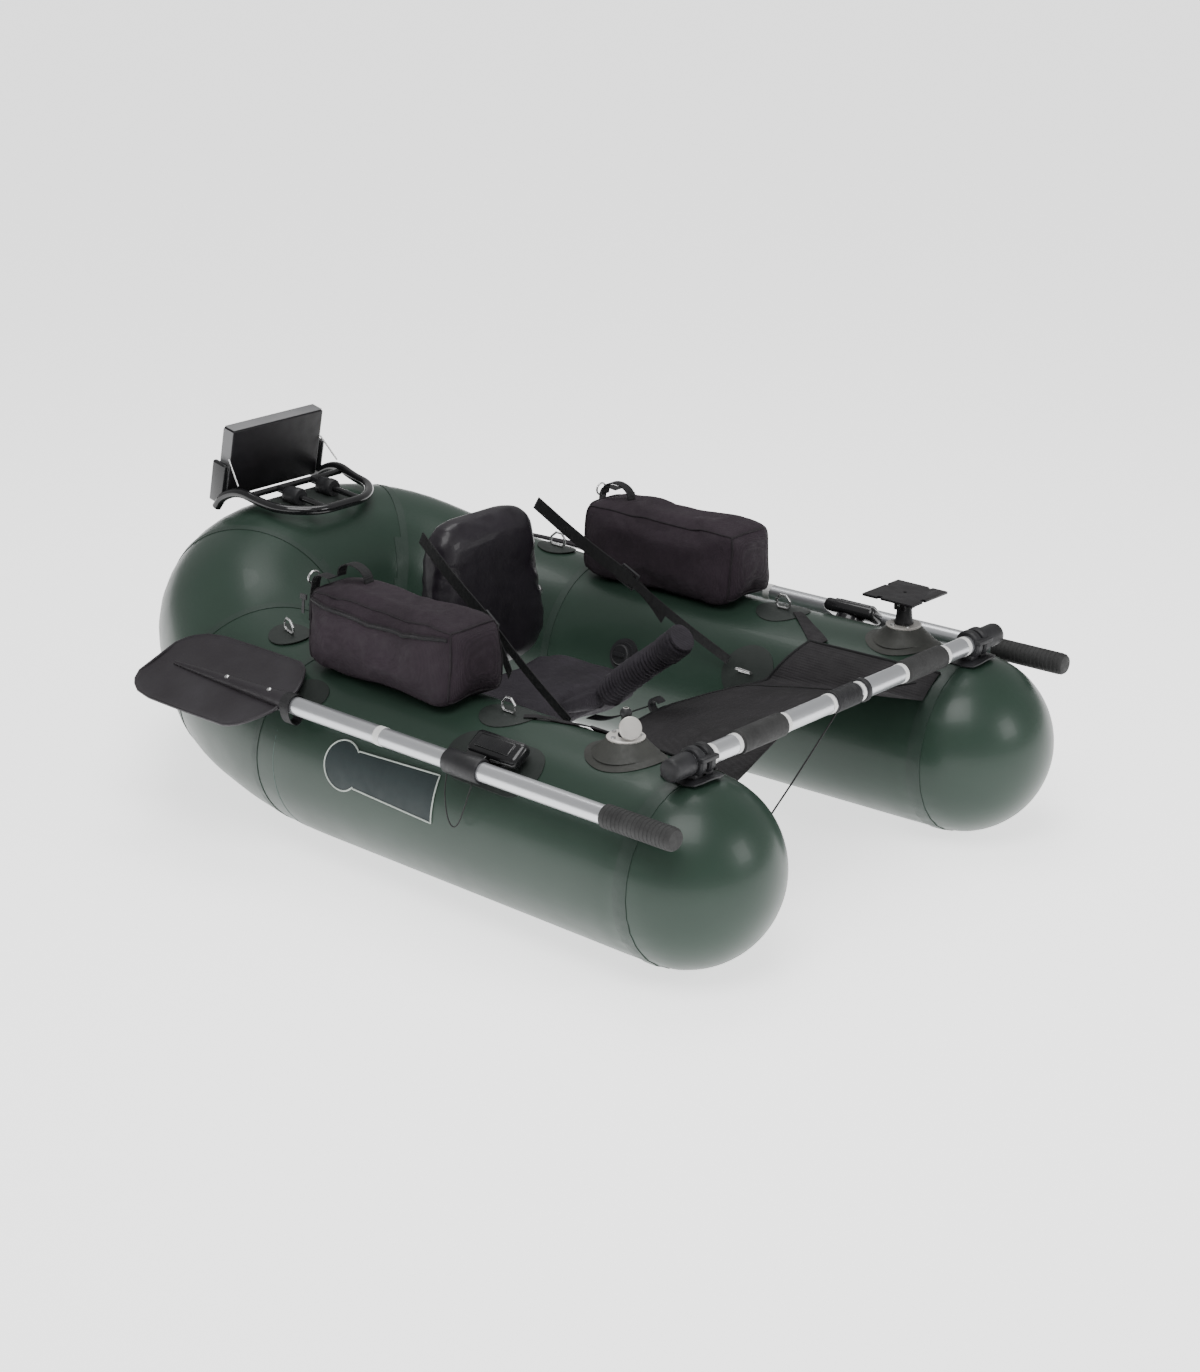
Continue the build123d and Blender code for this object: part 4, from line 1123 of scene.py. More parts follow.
@dataclass
class Seat:
    """Cushion, backrest, padded crotch sleeve and their straps."""

    back_half_top: float = 0.136
    back_half_low: float = 0.172
    back_knee_z: float = 0.255
    sleeve_rise: float = 40.3
    sleeve_length: float = 0.225
    sleeve_radius: float = 0.0245
    strap_top: Vector = field(default_factory=lambda: Vector((-0.148, 0.1525, 0.483)))
    strap_low: Vector = field(default_factory=lambda: Vector((0.247, 0.213, 0.262)))
    strap_width: float = 0.025
    buckle_share: float = 0.46

    def build(self) -> None:
        """Make and dress the seat."""
        self.cushion()
        self.backrest()
        self.sleeve()
        self.straps()

    def cushion(self) -> None:
        """Make the gathered seat cushion and the cloth that runs forward from it."""
        low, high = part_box("seat_cushion")
        middle, half = (low + high) / 2, (high - low) / 2

        def place(p: Vector) -> Vector:
            """Return the point for a place in the piece."""
            return middle + Vector((p.x * (half.x - 0.006), p.y * (half.y - 0.008), p.z * (half.z - 0.007)))

        pad = inflate(pillow("seat_cushion_pad", 14, place, 6.0), 0.007, 0.012)
        modify(pad, "SUBSURF", levels=1, render_levels=1)

        def gathered(p: Vector) -> Vector:
            """Move a point for the cushion's gathers."""
            if p.z < middle.z:
                return p
            front = max(0.0, (p.x - middle.x) / half.x)
            fan = math.atan2(p.y, 0.34 - p.x)
            fold = math.sin(fan * 46 + 2.5 * ripple(p, 10.0)) * (0.0012 + 0.0024 * front)
            sunk = -0.007 * math.exp(-((p.x - middle.x) / 0.07) ** 2 - (p.y / 0.11) ** 2)
            return Vector((p.x, p.y, p.z + fold + sunk + 0.0015 * ripple(p, 34.0)))

        reshape(pad, gathered)
        present(pad, SEAT_CLOTH, nodes=("seat_cushion",), angle=60)
        start = Vector((0.085, 0, 0.206))
        end = Vector((0.139, 0, 0.2245))

        def tongue_place(p: Vector) -> Vector:
            """Return the point for a place in the tongue."""
            share = (p.x + 1) / 2
            width = 0.085 + (0.028 - 0.085) * share
            height = 0.014 + (0.020 - 0.014) * share
            at = start.lerp(end, share) + Vector((0, p.y * width, p.z * height))
            return at + Vector((0, 0, 0.003 * math.sin(p.y * 22 + 3 * ripple(at, 20.0)) * (1 - abs(p.y))))

        tongue = pillow("seat_tongue", 16, tongue_place, 3.5)
        present(tongue, SEAT_CLOTH, angle=60)

    def backrest(self) -> None:
        """Make the backrest with its side grommets."""
        low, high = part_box("backrest")
        middle, half = (low + high) / 2, (high - low) / 2

        def width_at(z: float) -> float:
            """Return the backrest's half-width at a height."""
            if z < self.back_knee_z:
                share = (self.back_knee_z - z) / (self.back_knee_z - low.z)
                return self.back_half_low - 0.016 * share
            share = (z - self.back_knee_z) / (high.z - self.back_knee_z)
            return self.back_half_low + (self.back_half_top - self.back_half_low) * share

        def place(p: Vector) -> Vector:
            """Return the point for a place in the piece."""
            z = middle.z + p.z * (half.z - 0.008)
            return Vector((middle.x + p.x * (half.x - 0.009), p.y * (width_at(z) - 0.008), z))

        pad = inflate(pillow("backrest_pad", 18, place, 5.0), 0.008, 0.011)
        modify(pad, "SUBSURF", levels=1, render_levels=1)

        def creased(p: Vector) -> Vector:
            """Move a point for the cover's creases."""
            edge = abs(p.y) / width_at(p.z)
            near_edge = max(0.0, edge - 0.55) + max(0.0, (p.z - high.z + 0.05) / 0.05) * 0.4
            crease = near_edge * 0.0035 * math.sin(p.z * 190 + p.y * 60 + 3 * ripple(p, 12.0))
            return p + Vector((crease if p.x > middle.x else -crease, 0, 0.0012 * ripple(p, 18.0)))

        reshape(pad, creased)
        present(pad, LEATHER, "backrest", ("backrest",), angle=60)
        for name, side in SIDES.items():
            eye = laid_on(pad, [Vector((middle.x + 0.012, side * 0.20, 0.335))], 0.001)[0]
            profile = [(-0.003, 0.0062), (-0.003, 0.0115), (0.0, 0.0120), (0.0022, 0.0112), (0.0026, 0.0090),
                       (0.0022, 0.0070), (-0.003, 0.0062)]
            ring = turned("backrest_eyelet_" + name, eye, Vector((0, side, 0.1)), profile, 32)
            present(ring, STEEL, "backrest")

    def sleeve(self) -> None:
        """Make the ruched crotch sleeve with its open end and eyelet."""
        rise = math.radians(self.sleeve_rise)
        start = Vector((0.142, 0, 0.2275))
        way = Vector((math.cos(rise), 0, math.sin(rise)))
        up = Vector((-math.sin(rise), 0, math.cos(rise)))
        count = 150
        points, radii = [], []
        for i in range(count + 1):
            share = i / count
            along = share * self.sleeve_length
            ruche = 0.0019 * math.sin(along / 0.0085 * math.tau + 2.2 * ripple(Vector((along, 0, 0)), 30.0))
            calm = 1.0 if share < 0.62 else max(0.25, 1 - (share - 0.62) * 3)
            collar = 0.0022 if 0.80 < share < 0.97 else 0.0
            close = 1.0 if 0.03 < share < 0.985 else 0.86
            points.append(start + way * along + up * (0.002 * math.sin(share * 5)))
            radii.append((self.sleeve_radius + ruche * calm + collar) * close)
        sleeve = sweep("crotch_sleeve_pad", points, radii, 56, smooth=False)

        def crumpled(p: Vector) -> Vector:
            """Move a point for the sleeve's crumples."""
            centre = start + way * (p - start).dot(way)
            away = p - centre
            if away.length < 0.004:
                return p
            return centre + away * (1 + 0.055 * ripple(p, 46.0) + 0.035 * ripple(p, 110.0))

        reshape(sleeve, crumpled)
        present(sleeve, SEAT_CLOTH, "crotch_sleeve", ("crotch_sleeve",), angle=70)
        end = start + way * self.sleeve_length
        rim = turned("crotch_sleeve_rim", end - way * 0.004, way,
                     [(0, 0.019), (0, 0.0245), (0.003, 0.0262), (0.0065, 0.0250), (0.007, 0.0215), (0.004, 0.0195)])
        present(rim, SEAT_CLOTH, "crotch_sleeve")
        core = turned("crotch_strap_core", end - way * 0.012, way,
                      [(0, 0.019), (0.010, 0.0195), (0.0125, 0.0172), (0.0132, 0.011), (0.0118, 0.006), (0.0116, 0)])
        brown = Finish("strap_core_foam", (0.030, 0.021, 0.019), (0.048, 0.034, 0.030), rough=0.8, grain=600,
                       grain_depth=0.0006, blotch=60)
        present(core, brown, "crotch_sleeve")
        eye = start + way * 0.030 + up * (self.sleeve_radius - 0.001)
        ring = turned("crotch_sleeve_eyelet", eye, up, [(-0.002, 0.0055), (-0.002, 0.0105), (0.0015, 0.0108),
                                                        (0.0032, 0.0095), (0.0036, 0.0078), (0.002, 0.0062),
                                                        (-0.002, 0.0055)], 32)
        present(ring, STEEL, "crotch_sleeve")

    def straps(self) -> None:
        """Make the two backrest straps, their buckles and the webbing to the apron's clip."""
        run = self.strap_low - self.strap_top
        face = Vector((0, 0, 1)) - run.normalized() * run.normalized().z

        def half(name: str, width: float, points: list[Vector], thick: float) -> bpy.types.Object:
            """Make one length of the strap."""
            return ribbon(name, points, lambda share: face, width, thick, 44)

        sag = Vector((0, 0, -0.006))
        joint = self.strap_top + run * self.buckle_share
        upper = half("back_strap_upper_left", self.strap_width,
                     [self.strap_top - run * 0.04, self.strap_top + run * 0.2 + sag, joint + run * 0.02], 0.0018)
        lower = half("back_strap_lower_left", self.strap_width * 0.72,
                     [joint - run * 0.03, joint + run * 0.25 + sag, self.strap_low], 0.0015)
        tail = half("back_strap_tail_left", self.strap_width * 0.8,
                    [joint + Vector((0, 0.004, 0)), joint + run * 0.10 + Vector((0, 0.010, -0.012)),
                     joint + run * 0.17 + Vector((0, 0.013, -0.034))], 0.0014)
        turn = Matrix((run.normalized(), face.normalized().cross(run.normalized()), face.normalized())).transposed()
        frame_bars = [block("buckle_part", (0.040, 0.0045, 0.004), joint + turn @ Vector((0, 0.002, dz)),
                            turn.to_4x4(), 0.0012) for dz in (-0.0155, 0.0155)]
        frame_bars += [block("buckle_part", (0.005, 0.0045, 0.034), joint + turn @ Vector((dx, 0.002, 0)),
                             turn.to_4x4(), 0.0012) for dx in (-0.018, 0.0, 0.018)]
        buckle = joined("strap_buckle_left", frame_bars)
        for piece, finish, slot, node in ((upper, WEBBING, "webbing", "webbing_straps"),
                                          (lower, WEBBING, "webbing", "webbing_straps"),
                                          (tail, WEBBING, "webbing", "webbing_straps"),
                                          (buckle, BLACK_PLASTIC, "steel", "strap_buckles")):
            copy = mirrored(piece, piece.name.replace("_left", "_right"))
            for one, side in ((piece, PORT), (copy, STARBOARD)):
                present(one, finish, nodes=(node,))
                self.blended(one)
        low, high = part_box("apron_clip")
        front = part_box("seat_cushion")[1]
        path = [(front.x - 0.01, 0, 0.178), (front.x + 0.03, 0, 0.182), (0.19, 0, 0.205), (low.x - 0.002, 0, 0.232)]
        clip_web = ribbon("clip_webbing", path, lambda share: Vector((0, 1, 0)), self.strap_width, 0.0018)
        present(clip_web, WEBBING, nodes=("webbing_straps",))

    def blended(self, piece: bpy.types.Object) -> None:
        """Take a strap off its body and bake its place into its mesh, so that it rides on no body."""
        piece.parent = None
        del piece["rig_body"]
        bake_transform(piece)


@dataclass
class Bags:
    """The two zipped bags on the side tubes."""

    tube: Pontoon
    aft_x: float = -0.195
    length: float = 0.388
    base: float = 0.0015
    height: float = 0.152
    low_half: float = 0.080
    top_half: float = 0.070
    zip_drop: float = 0.026

    def spot(self, x: float, out: float, rise: float) -> Vector:
        """Return a point by its place along the boat, outboard of the tube's axis and above its crown."""
        return self.tube.axis_at(x) + self.tube.normal(0) * out + Vector((0, 0, self.tube.radius + rise))

    def build(self) -> None:
        """Make and dress both bags."""
        body = self.shell()
        top = self.base + self.height
        fore_x, aft_x = self.aft_x + self.length, self.aft_x
        for name, x in (("fore", fore_x - 0.008), ("aft", aft_x + 0.008)):
            outline = [self.spot(x, self.low_half, 0.002), self.spot(x, self.top_half, top),
                       self.spot(x, -self.top_half, top), self.spot(x, -self.low_half, 0.002)]
            route = laid_on(body, closed_route(outline, 8), 0.0006)
            both_sides(sweep(f"bag_{name}_piping_left", route, 0.0021, 8, cyclic=True), PIPING)
        for name, out in (("outboard", self.top_half), ("inboard", -self.top_half)):
            edge = [self.spot(aft_x + 0.01 + (self.length - 0.02) * i / 24, out, top) for i in range(25)]
            both_sides(sweep(f"bag_{name}_edge_left", laid_on(body, edge, 0.0004), 0.0016, 8), PIPING)
        drop = [self.spot(aft_x + 0.012 + (self.length - 0.024) * i / 30, self.top_half + 0.02, top - self.zip_drop)
                for i in range(31)]
        self.zip(body, drop)
        self.handle(body)
        copy = mirrored(body, "bag_body_right")
        present(body, BAG_CLOTH, nodes=("bag_left", "bag_right"), angle=60)
        present(copy, BAG_CLOTH, angle=60)

    def shell(self) -> bpy.types.Object:
        """Make the port bag's body: swelled, sagging and creased.

        Returns:
            The body.
        """
        radius = self.tube.radius

        def place(p: Vector) -> Vector:
            """Return the point for a place in the piece."""
            half = self.low_half + (self.top_half - self.low_half) * (p.z + 1) / 2 - 0.007
            out = p.y * half
            floor = math.sqrt(radius * radius - out * out) - radius
            low = self.base + max(floor, -0.014) + 0.004
            share = (p.z + 1) / 2
            top = self.base + self.height - 0.007 - 0.007 * (1 - p.x * p.x) * (1 - p.y * p.y)
            return self.spot(self.aft_x + self.length / 2 + p.x * (self.length / 2 - 0.008), out,
                             low + (top - low) * share)

        body = inflate(pillow("bag_body_left", 20, place, 7.0), 0.007, 0.008)
        modify(body, "SUBSURF", levels=1, render_levels=1)
        middle = self.spot(self.aft_x + self.length / 2, 0, self.height / 2)

        def creased(p: Vector) -> Vector:
            """Move a point for the cover's creases."""
            away = p - middle
            rise = away.z / (self.height / 2)
            side = min(1.0, abs(away.y) / self.top_half) * (1 - 0.6 * abs(rise))
            diagonal = math.sin(away.x * 34 - away.z * 46 + 4 * ripple(p, 8.0))
            fold = 0.0048 * side * diagonal * (0.6 + ripple(p + Vector((2, 0, 0)), 7.0))
            slump = 0.006 * math.sin((away.x / self.length + 0.15) * 7) * max(0.0, rise)
            out = 1 if away.y > 0 else -1
            swell = out * (fold + 0.0022 * ripple(p, 16.0))
            return p + Vector((0, swell, -abs(slump) * 0.6 + 0.002 * ripple(p, 22.0)))

        return reshape(body, creased)

    def zip(self, body: bpy.types.Object, line: list[Vector]) -> None:
        """Lay the zip's tape and teeth along the outboard side, with a welt above them.

        Args:
            body: The bag's body.
            line: The zip's line beside the bag.
        """
        route = laid_on(body, line, 0.0004)
        both_sides(sweep("bag_zip_tape_left", route, 0.0034, 10), BINDING)
        teeth = laid_on(body, line, 0.0032)
        metal = Finish("zip_coil", (0.012, 0.011, 0.013), (0.030, 0.028, 0.031), rough=0.35, weave=Weave.RIB_X,
                       pitch=0.0024, weave_depth=0.0008)
        both_sides(sweep("bag_zip_coil_left", teeth, 0.0014, 8), metal)
        flap = [p + Vector((0, 0, 0.0055)) for p in line]
        both_sides(sweep("bag_zip_welt_left", laid_on(body, flap, 0.0008), 0.0020, 8), PIPING)

    def handle(self, body: bpy.types.Object) -> None:
        """Make the carry loop, its strap end and its hooks at the aft end.

        Args:
            body: The bag's body.
        """
        top = self.base + self.height
        x = self.aft_x
        arch = [self.spot(x + 0.030, -0.008, top - 0.006), self.spot(x + 0.034, -0.009, top + 0.014),
                self.spot(x + 0.062, -0.010, top + 0.023), self.spot(x + 0.092, -0.011, top + 0.013),
                self.spot(x + 0.098, -0.012, top - 0.008)]
        across = self.tube.normal(0)
        loop = ribbon("bag_carry_loop_left", arch, lambda share: across, 0.020, 0.0022)
        both_sides(loop, WEBBING, ("bag_loops",))
        hang = [self.spot(x + 0.040, 0.020, top - 0.002), self.spot(x + 0.004, 0.022, top + 0.001),
                self.spot(x - 0.005, 0.024, top - 0.030), self.spot(x - 0.006, 0.028, top - 0.085)]
        both_sides(ribbon("bag_aft_strap_left", hang, lambda share: across, 0.020, 0.0018), WEBBING)
        ring_at = self.spot(x - 0.004, 0.023, top - 0.010)
        ring = []
        for i in range(14):
            turn = math.tau * i / 14
            ring.append(ring_at + across * (0.013 * math.cos(turn)) + Vector((-0.002, 0, 0.011 * math.sin(turn))))
        both_sides(sweep("bag_hook_left", ring, 0.0019, 8, cyclic=True), STEEL)


@dataclass
class Apron:
    """The mesh apron between the tubes, its bindings and corner flaps."""

    tube: Pontoon
    fore_x: float = 0.642
    flat_half: float = 0.130
    top_angle: float = 63.0
    lift: float = 0.0032
    rows: int = 84
    columns: int = 56

    def build(self) -> None:
        """Make and dress the apron."""
        lines = [softened(self.profile(i / 40), 3) for i in range(41)]

        def place(u: float, v: float) -> Vector:
            """Return the point for a place in the piece."""
            share = (u + 1) / 2
            low = min(39, int(share * 40))
            part = share * 40 - low
            reach = abs(v)
            near, far = walk(lines[low], reach), walk(lines[low + 1], reach)
            p = near.lerp(far, part)
            x0 = self.aft_edge(reach)
            p.x = x0 + (self.fore_x - x0) * share
            hollow = math.sin(math.pi * share) * max(0.0, 1 - (reach / 0.5) ** 2)
            p.z -= 0.006 * hollow
            loose = max(0.0, 1 - abs(reach - 0.35) / 0.3)
            p.z += 0.0028 * loose * math.sin(p.x * 58 + 70 * p.y * share + 3 * ripple(p, 8.0))
            p.z += 0.0016 * (1 - reach) * ripple(p, 26.0)
            return Vector((p.x, p.y if v > 0 else -p.y, p.z))

        cloth = sheet("apron_cloth", self.columns, self.rows, place)
        modify(cloth, "SOLIDIFY", thickness=0.0012, offset=0.0)
        present(cloth, MESH, nodes=("apron",), angle=60)
        edge = [place(-1, i / 24) for i in range(-24, 25)]
        sides = [[place(i / 20 - 1, side * 0.999) for i in range(41)] for side in (PORT, STARBOARD)]
        trim = [sweep("apron_aft_binding", edge, 0.0030, 8)]
        trim += [sweep(f"apron_side_binding_{name}", line, 0.0028, 8) for name, line in zip(("left", "right"), sides)]
        for name, side in SIDES.items():
            seam = [place(-1 + 0.10 * i, side * (0.52 + 0.021 * i)) + Vector((0, 0, 0.0012)) for i in range(19)]
            trim.append(sweep("apron_seam_" + name, seam, 0.0016, 8))
        for piece in trim:
            present(piece, BINDING)
        both_sides(self.flap(), MESH)

    def aft_edge(self, reach: float) -> float:
        """Return where the aft edge is along the boat, at a share from the middle to the side."""
        ring, corner = 0.304, 0.368
        if reach < 0.55:
            return 0.276 + (ring - 0.276) * (reach / 0.55) ** 2
        return ring + (corner - ring) * (reach - 0.55) / 0.45

    def profile(self, share: float) -> list[Vector]:
        """Work out the port half of a cross-section.

        Args:
            share: Place from the aft edge, 0, to the bar, 1.

        Returns:
            Corner points from the middle to the top of the tube.
        """
        x = 0.294 + (self.fore_x - 0.294) * share
        middle_z = 0.236 + (0.3225 - 0.236) * share
        meet_z = 0.236 + 0.030 * share
        centre = self.tube.axis_at(x)
        radius = self.tube.radius + self.lift
        start = math.degrees(math.asin((meet_z - centre.z) / radius))
        line = [Vector((x, 0, middle_z)), Vector((x, 0.06, middle_z)), Vector((x, self.flat_half, middle_z + 0.001))]
        for i in range(9):
            turn = math.radians(start + (self.top_angle - start) * i / 8)
            line.append(Vector((x, centre.y - radius * math.cos(turn), centre.z + radius * math.sin(turn))))
        return line

    def flap(self) -> bpy.types.Object:
        """Make the pointed flap from the crown ring to the apron's corner."""
        def place(u: float, v: float) -> Vector:
            """Return the point for a place in the piece."""
            share = (u + 1) / 2
            width = 0.006 + 0.007 * share
            return self.tube.point(0.282 + 0.105 * share + v * width * 0.75, 91 + 27 * share - v * width * 330,
                                   0.0034 + 0.0012 * math.sin(share * 9))

        return sheet("apron_flap_left", 20, 8, place, 0.0012)


# ------------------------------------------------------------------ hardware
@dataclass
class FrontBar:
    """The alloy bar with its grips, caps, clamps and whipping."""

    x: float = 0.660
    z: float = 0.347
    radius: float = 0.0165
    half: float = 0.445
    clamp_y: float = 0.375

    def at(self, y: float) -> Vector:
        """Return a point on the bar's axis."""
        return Vector((self.x, y, self.z))

    def ring(self, name: str, y: float, width: float, radius: float, edge: float = 0.0012) -> bpy.types.Object:
        """Make a collar with softened edges round the bar, centred at y."""
        half, core = width / 2, self.radius - 0.0004
        profile = [(-half, core), (-half, radius - edge), (-half + edge, radius), (half - edge, radius),
                   (half, radius - edge), (half, core)]
        return turned(name, self.at(y), Vector((0, 1, 0)), profile)

    def build(self) -> None:
        """Make and dress the bar's fittings."""
        fore = Vector((0, 1, 0))
        tube = turned("front_bar", self.at(0), fore, [(-self.half + 0.004, 0), (-self.half + 0.004, self.radius),
                                                      (self.half - 0.004, self.radius), (self.half - 0.004, 0)], 56)
        present(tube, ALLOY, nodes=("front_bar",))
        profile = [(0, self.radius), (0, 0.0192), (0.0015, 0.0197), (0.040, 0.0197), (0.0455, 0.0185),
                   (0.048, 0.0155), (0.0484, 0)]
        both_sides(turned("bar_cap_left", self.at(self.half - 0.048), fore, profile, 48), BLACK_PLASTIC,
                   ("bar_end_caps",))
        both_sides(self.ring("bar_foam_left", 0.222, 0.114, 0.0202, 0.003), GRIP_FOAM, ("bar_grips",))
        for i, y in enumerate((0.160, 0.284, 0.345, 0.404)):
            both_sides(self.ring(f"bar_band_{i}_left", y, 0.009, 0.0172, 0.0004), WHITE_TAPE)
        self.whipping()
        self.clamps()

    def whipping(self) -> None:
        """Wind the cord round the middle of the bar."""
        turns, count, reach = 17, 17 * 14, 0.0315
        wound = []
        for i in range(count + 1):
            turn = math.tau * turns * i / count
            spoke = Vector((math.cos(turn), 0, math.sin(turn)))
            wound.append(self.at(-reach + 2 * reach * i / count) + spoke * 0.0179)
        core = self.ring("bar_wrap_core", 0, 0.066, 0.0176, 0.0004)
        present(joined("bar_wrap", [sweep("wrap_turns", wound, 0.0018, 8, smooth=False), core]), BLACK_PLASTIC,
                nodes=("bar_wrap",))
        for i, y in enumerate((-0.040, 0.040)):
            present(self.ring(f"wrap_band_{i}", y, 0.008, 0.0174, 0.0004), WHITE_TAPE)
        present(self.ring("wrap_ring", 0.052, 0.010, 0.0205, 0.002), BLACK_PLASTIC)

    def clamps(self) -> None:
        """Make the two-lobed clamps on their feet."""
        lobes = [self.ring("clamp_lobe", self.clamp_y + dy, 0.015, 0.0252, 0.003) for dy in (-0.011, 0.011)]
        middle = self.at(self.clamp_y)
        saddle = block("clamp_saddle", (0.030, 0.012, 0.018), middle - Vector((0, 0, 0.016)), None, 0.002)
        foot = block("clamp_foot", (0.030, 0.046, 0.010), middle - Vector((0, 0, 0.0215)), None, 0.003)
        ear = block("clamp_ear", (0.014, 0.040, 0.008), middle + Vector((0.022, 0, 0.008)), None, 0.002)
        clamp = joined("bar_clamp_left", [*lobes, saddle, foot, ear])
        both_sides(clamp, BLACK_PLASTIC, ("bar_clamps",))
        tube = port_pontoon()

        def place(u: float, v: float) -> Vector:
            """Return the point for a place in the piece."""
            shrink = 1 - 0.25 * max(0.0, abs(u) + abs(v) - 1.45)
            return tube.point(0.650 + 0.041 * u * shrink, 91.5 + 14.5 * v * shrink, 0.0022)

        both_sides(sheet("clamp_pad_left", 20, 20, place, 0.0026), BLACK_PLASTIC)


@dataclass
class Oars:
    """The two oars with their blades, and the swivelling rowlocks on the side tubes."""

    tube: Pontoon
    pivot: Vector = field(default_factory=lambda: Vector((0.2990, 0.5208, 0.2857)))
    radius: float = 0.016
    fore: float = 0.453
    aft: float = -0.436
    tilt: float = 20.5

    def at(self, along: float, out: float = 0.0, rise: float = 0.0) -> Vector:
        """Return a point by its place along the port oar and off its axis."""
        way = Vector((math.cos(SPLAY), math.sin(SPLAY), 0))
        side = Vector((-math.sin(SPLAY), math.cos(SPLAY), 0))
        return self.pivot + way * along + side * out + Vector((0, 0, rise))

    def way(self) -> Vector:
        """Return the direction of the port oar."""
        return Vector((math.cos(SPLAY), math.sin(SPLAY), 0))

    def on_both(self, piece: bpy.types.Object, finish: Finish, slot: str, body: str, *nodes: str) -> None:
        """Dress a port piece and its mirror, each on its own side's body."""
        copy = mirrored(piece, piece.name.replace("_left", "_right"))
        for one, side in ((piece, "left"), (copy, "right")):
            present(one, finish, f"{body}_{side}", tuple(f"{node}_{side}" for node in nodes))

    def build(self) -> None:
        """Make and dress both oars and rowlocks."""
        joint = -0.196
        rear = self.shaft("oar_rear_left", self.aft, joint - 0.001)
        self.on_both(rear, ALLOY, "alloy", "oar", "oar_shaft_rear")
        front = self.shaft("oar_front_left", joint, 0.400)
        self.on_both(front, ALLOY, "alloy", "oar", "oar_shaft_front")
        band = [(-0.203, 0.0158), (-0.203, 0.0166), (-0.189, 0.0166), (-0.189, 0.0158)]
        collar = turned("oar_collar_left", self.at(0), self.way(), band, 48)
        self.on_both(collar, WHITE_TAPE, "alloy", "oar")
        self.grip()
        self.blade()
        self.rowlock()

    def shaft(self, name: str, start: float, end: float) -> bpy.types.Object:
        """Make a length of the shaft between two places along the oar."""
        profile = [(start, 0.012), (start, self.radius), (end, self.radius), (end, 0.012)]
        return turned(name, self.at(0), self.way(), profile, 48)

    def grip(self) -> None:
        """Make the ribbed grip."""
        profile = [(0.308, 0.0160), (0.308, 0.0185), (0.310, 0.0195)]
        for i in range(16):
            start = 0.3125 + i * 0.0083
            profile += [(start, 0.0195), (start + 0.0052, 0.0195), (start + 0.0060, 0.0187), (start + 0.0075, 0.0187)]
        profile += [(0.4475, 0.0188), (0.4518, 0.0160), (0.4532, 0.0080), (0.4534, 0.0)]
        grip = turned("oar_grip_left", self.at(0), self.way(), profile, 44)
        self.on_both(grip, GRIP_FOAM, "foam", "oar", "oar_grip")

    def blade(self) -> None:
        """Make the moulded blade: a dished plate with a rim and a tapering spine."""
        lean = math.radians(-self.tilt)
        outline = [(0.0, 0.020), (-0.020, 0.062), (-0.042, 0.086), (-0.062, 0.094), (-0.160, 0.095), (-0.262, 0.094),
                   (-0.300, 0.087), (-0.330, 0.070), (-0.345, 0.043)]

        def half_at(x: float) -> float:
            """Return the blade's half-width at a place along it."""
            for (x0, w0), (x1, w1) in zip(outline, outline[1:]):
                if x >= x1:
                    return w0 + (w1 - w0) * (x0 - x) / (x0 - x1)
            return outline[-1][1]

        def on_blade(x: float, across: float, rise: float) -> Vector:
            """Return a point by its place on the blade."""
            return self.at(self.aft + x, across * math.cos(lean) - rise * math.sin(lean),
                           across * math.sin(lean) + rise * math.cos(lean))

        def place(u: float, v: float) -> Vector:
            """Return the point for a place in the piece."""
            x = -0.3445 * (u + 1) / 2
            width = half_at(x)
            edge = max(0.0, abs(v) - 0.93) / 0.07
            return on_blade(x, v * width, 0.0012 * edge - 0.0022 * (1 - v * v))

        plate = sheet("blade_plate", 60, 40, place, 0.0042)
        rim_line = [on_blade(x, half_at(x), 0.0008) for x in [-0.004 - 0.3405 * i / 30 for i in range(31)]]
        rim_line += [on_blade(x, -half_at(x), 0.0008) for x in [-0.3445 + 0.3405 * i / 30 for i in range(31)]]
        rim = sweep("blade_rim", rim_line, 0.0030, 8, cyclic=True, smooth=False)
        spine = [on_blade(-x, 0, 0.0006) for x in (0, 0.03, 0.08, 0.14, 0.20, 0.25, 0.297)]
        radii = [0.0170, 0.0166, 0.0145, 0.0118, 0.0090, 0.0066, 0.0040]
        ridge = sweep("blade_spine", spine, radii, 28, smooth=False)
        lip = [(-0.004, 0.0160), (-0.004, 0.0178), (0.004, 0.0182), (0.010, 0.0178), (0.010, 0.0160)]
        tang = turned("blade_collar", self.at(self.aft), self.way(), lip, 36)
        self.on_both(joined("oar_blade_left", [plate, rim, ridge, tang]), BLADE_PLASTIC, "black_plastic", "oar",
                     "oar_blade")
        up = on_blade(0, 0, 1) - on_blade(0, 0, 0)
        for i, (x, rise) in enumerate(((-0.036, 0.0168), (-0.150, 0.0115))):
            profile = [(rise - 0.003, 0.0), (rise - 0.003, 0.0046), (rise + 0.0012, 0.0044),
                       (rise + 0.0026, 0.0028), (rise + 0.0029, 0)]
            head = turned(f"oar_bolt_{i}_left", on_blade(x, 0, 0), up, profile, 24)
            self.on_both(head, STEEL, "steel", "oar", *(("oar_bolts",) if i == 0 else ()))

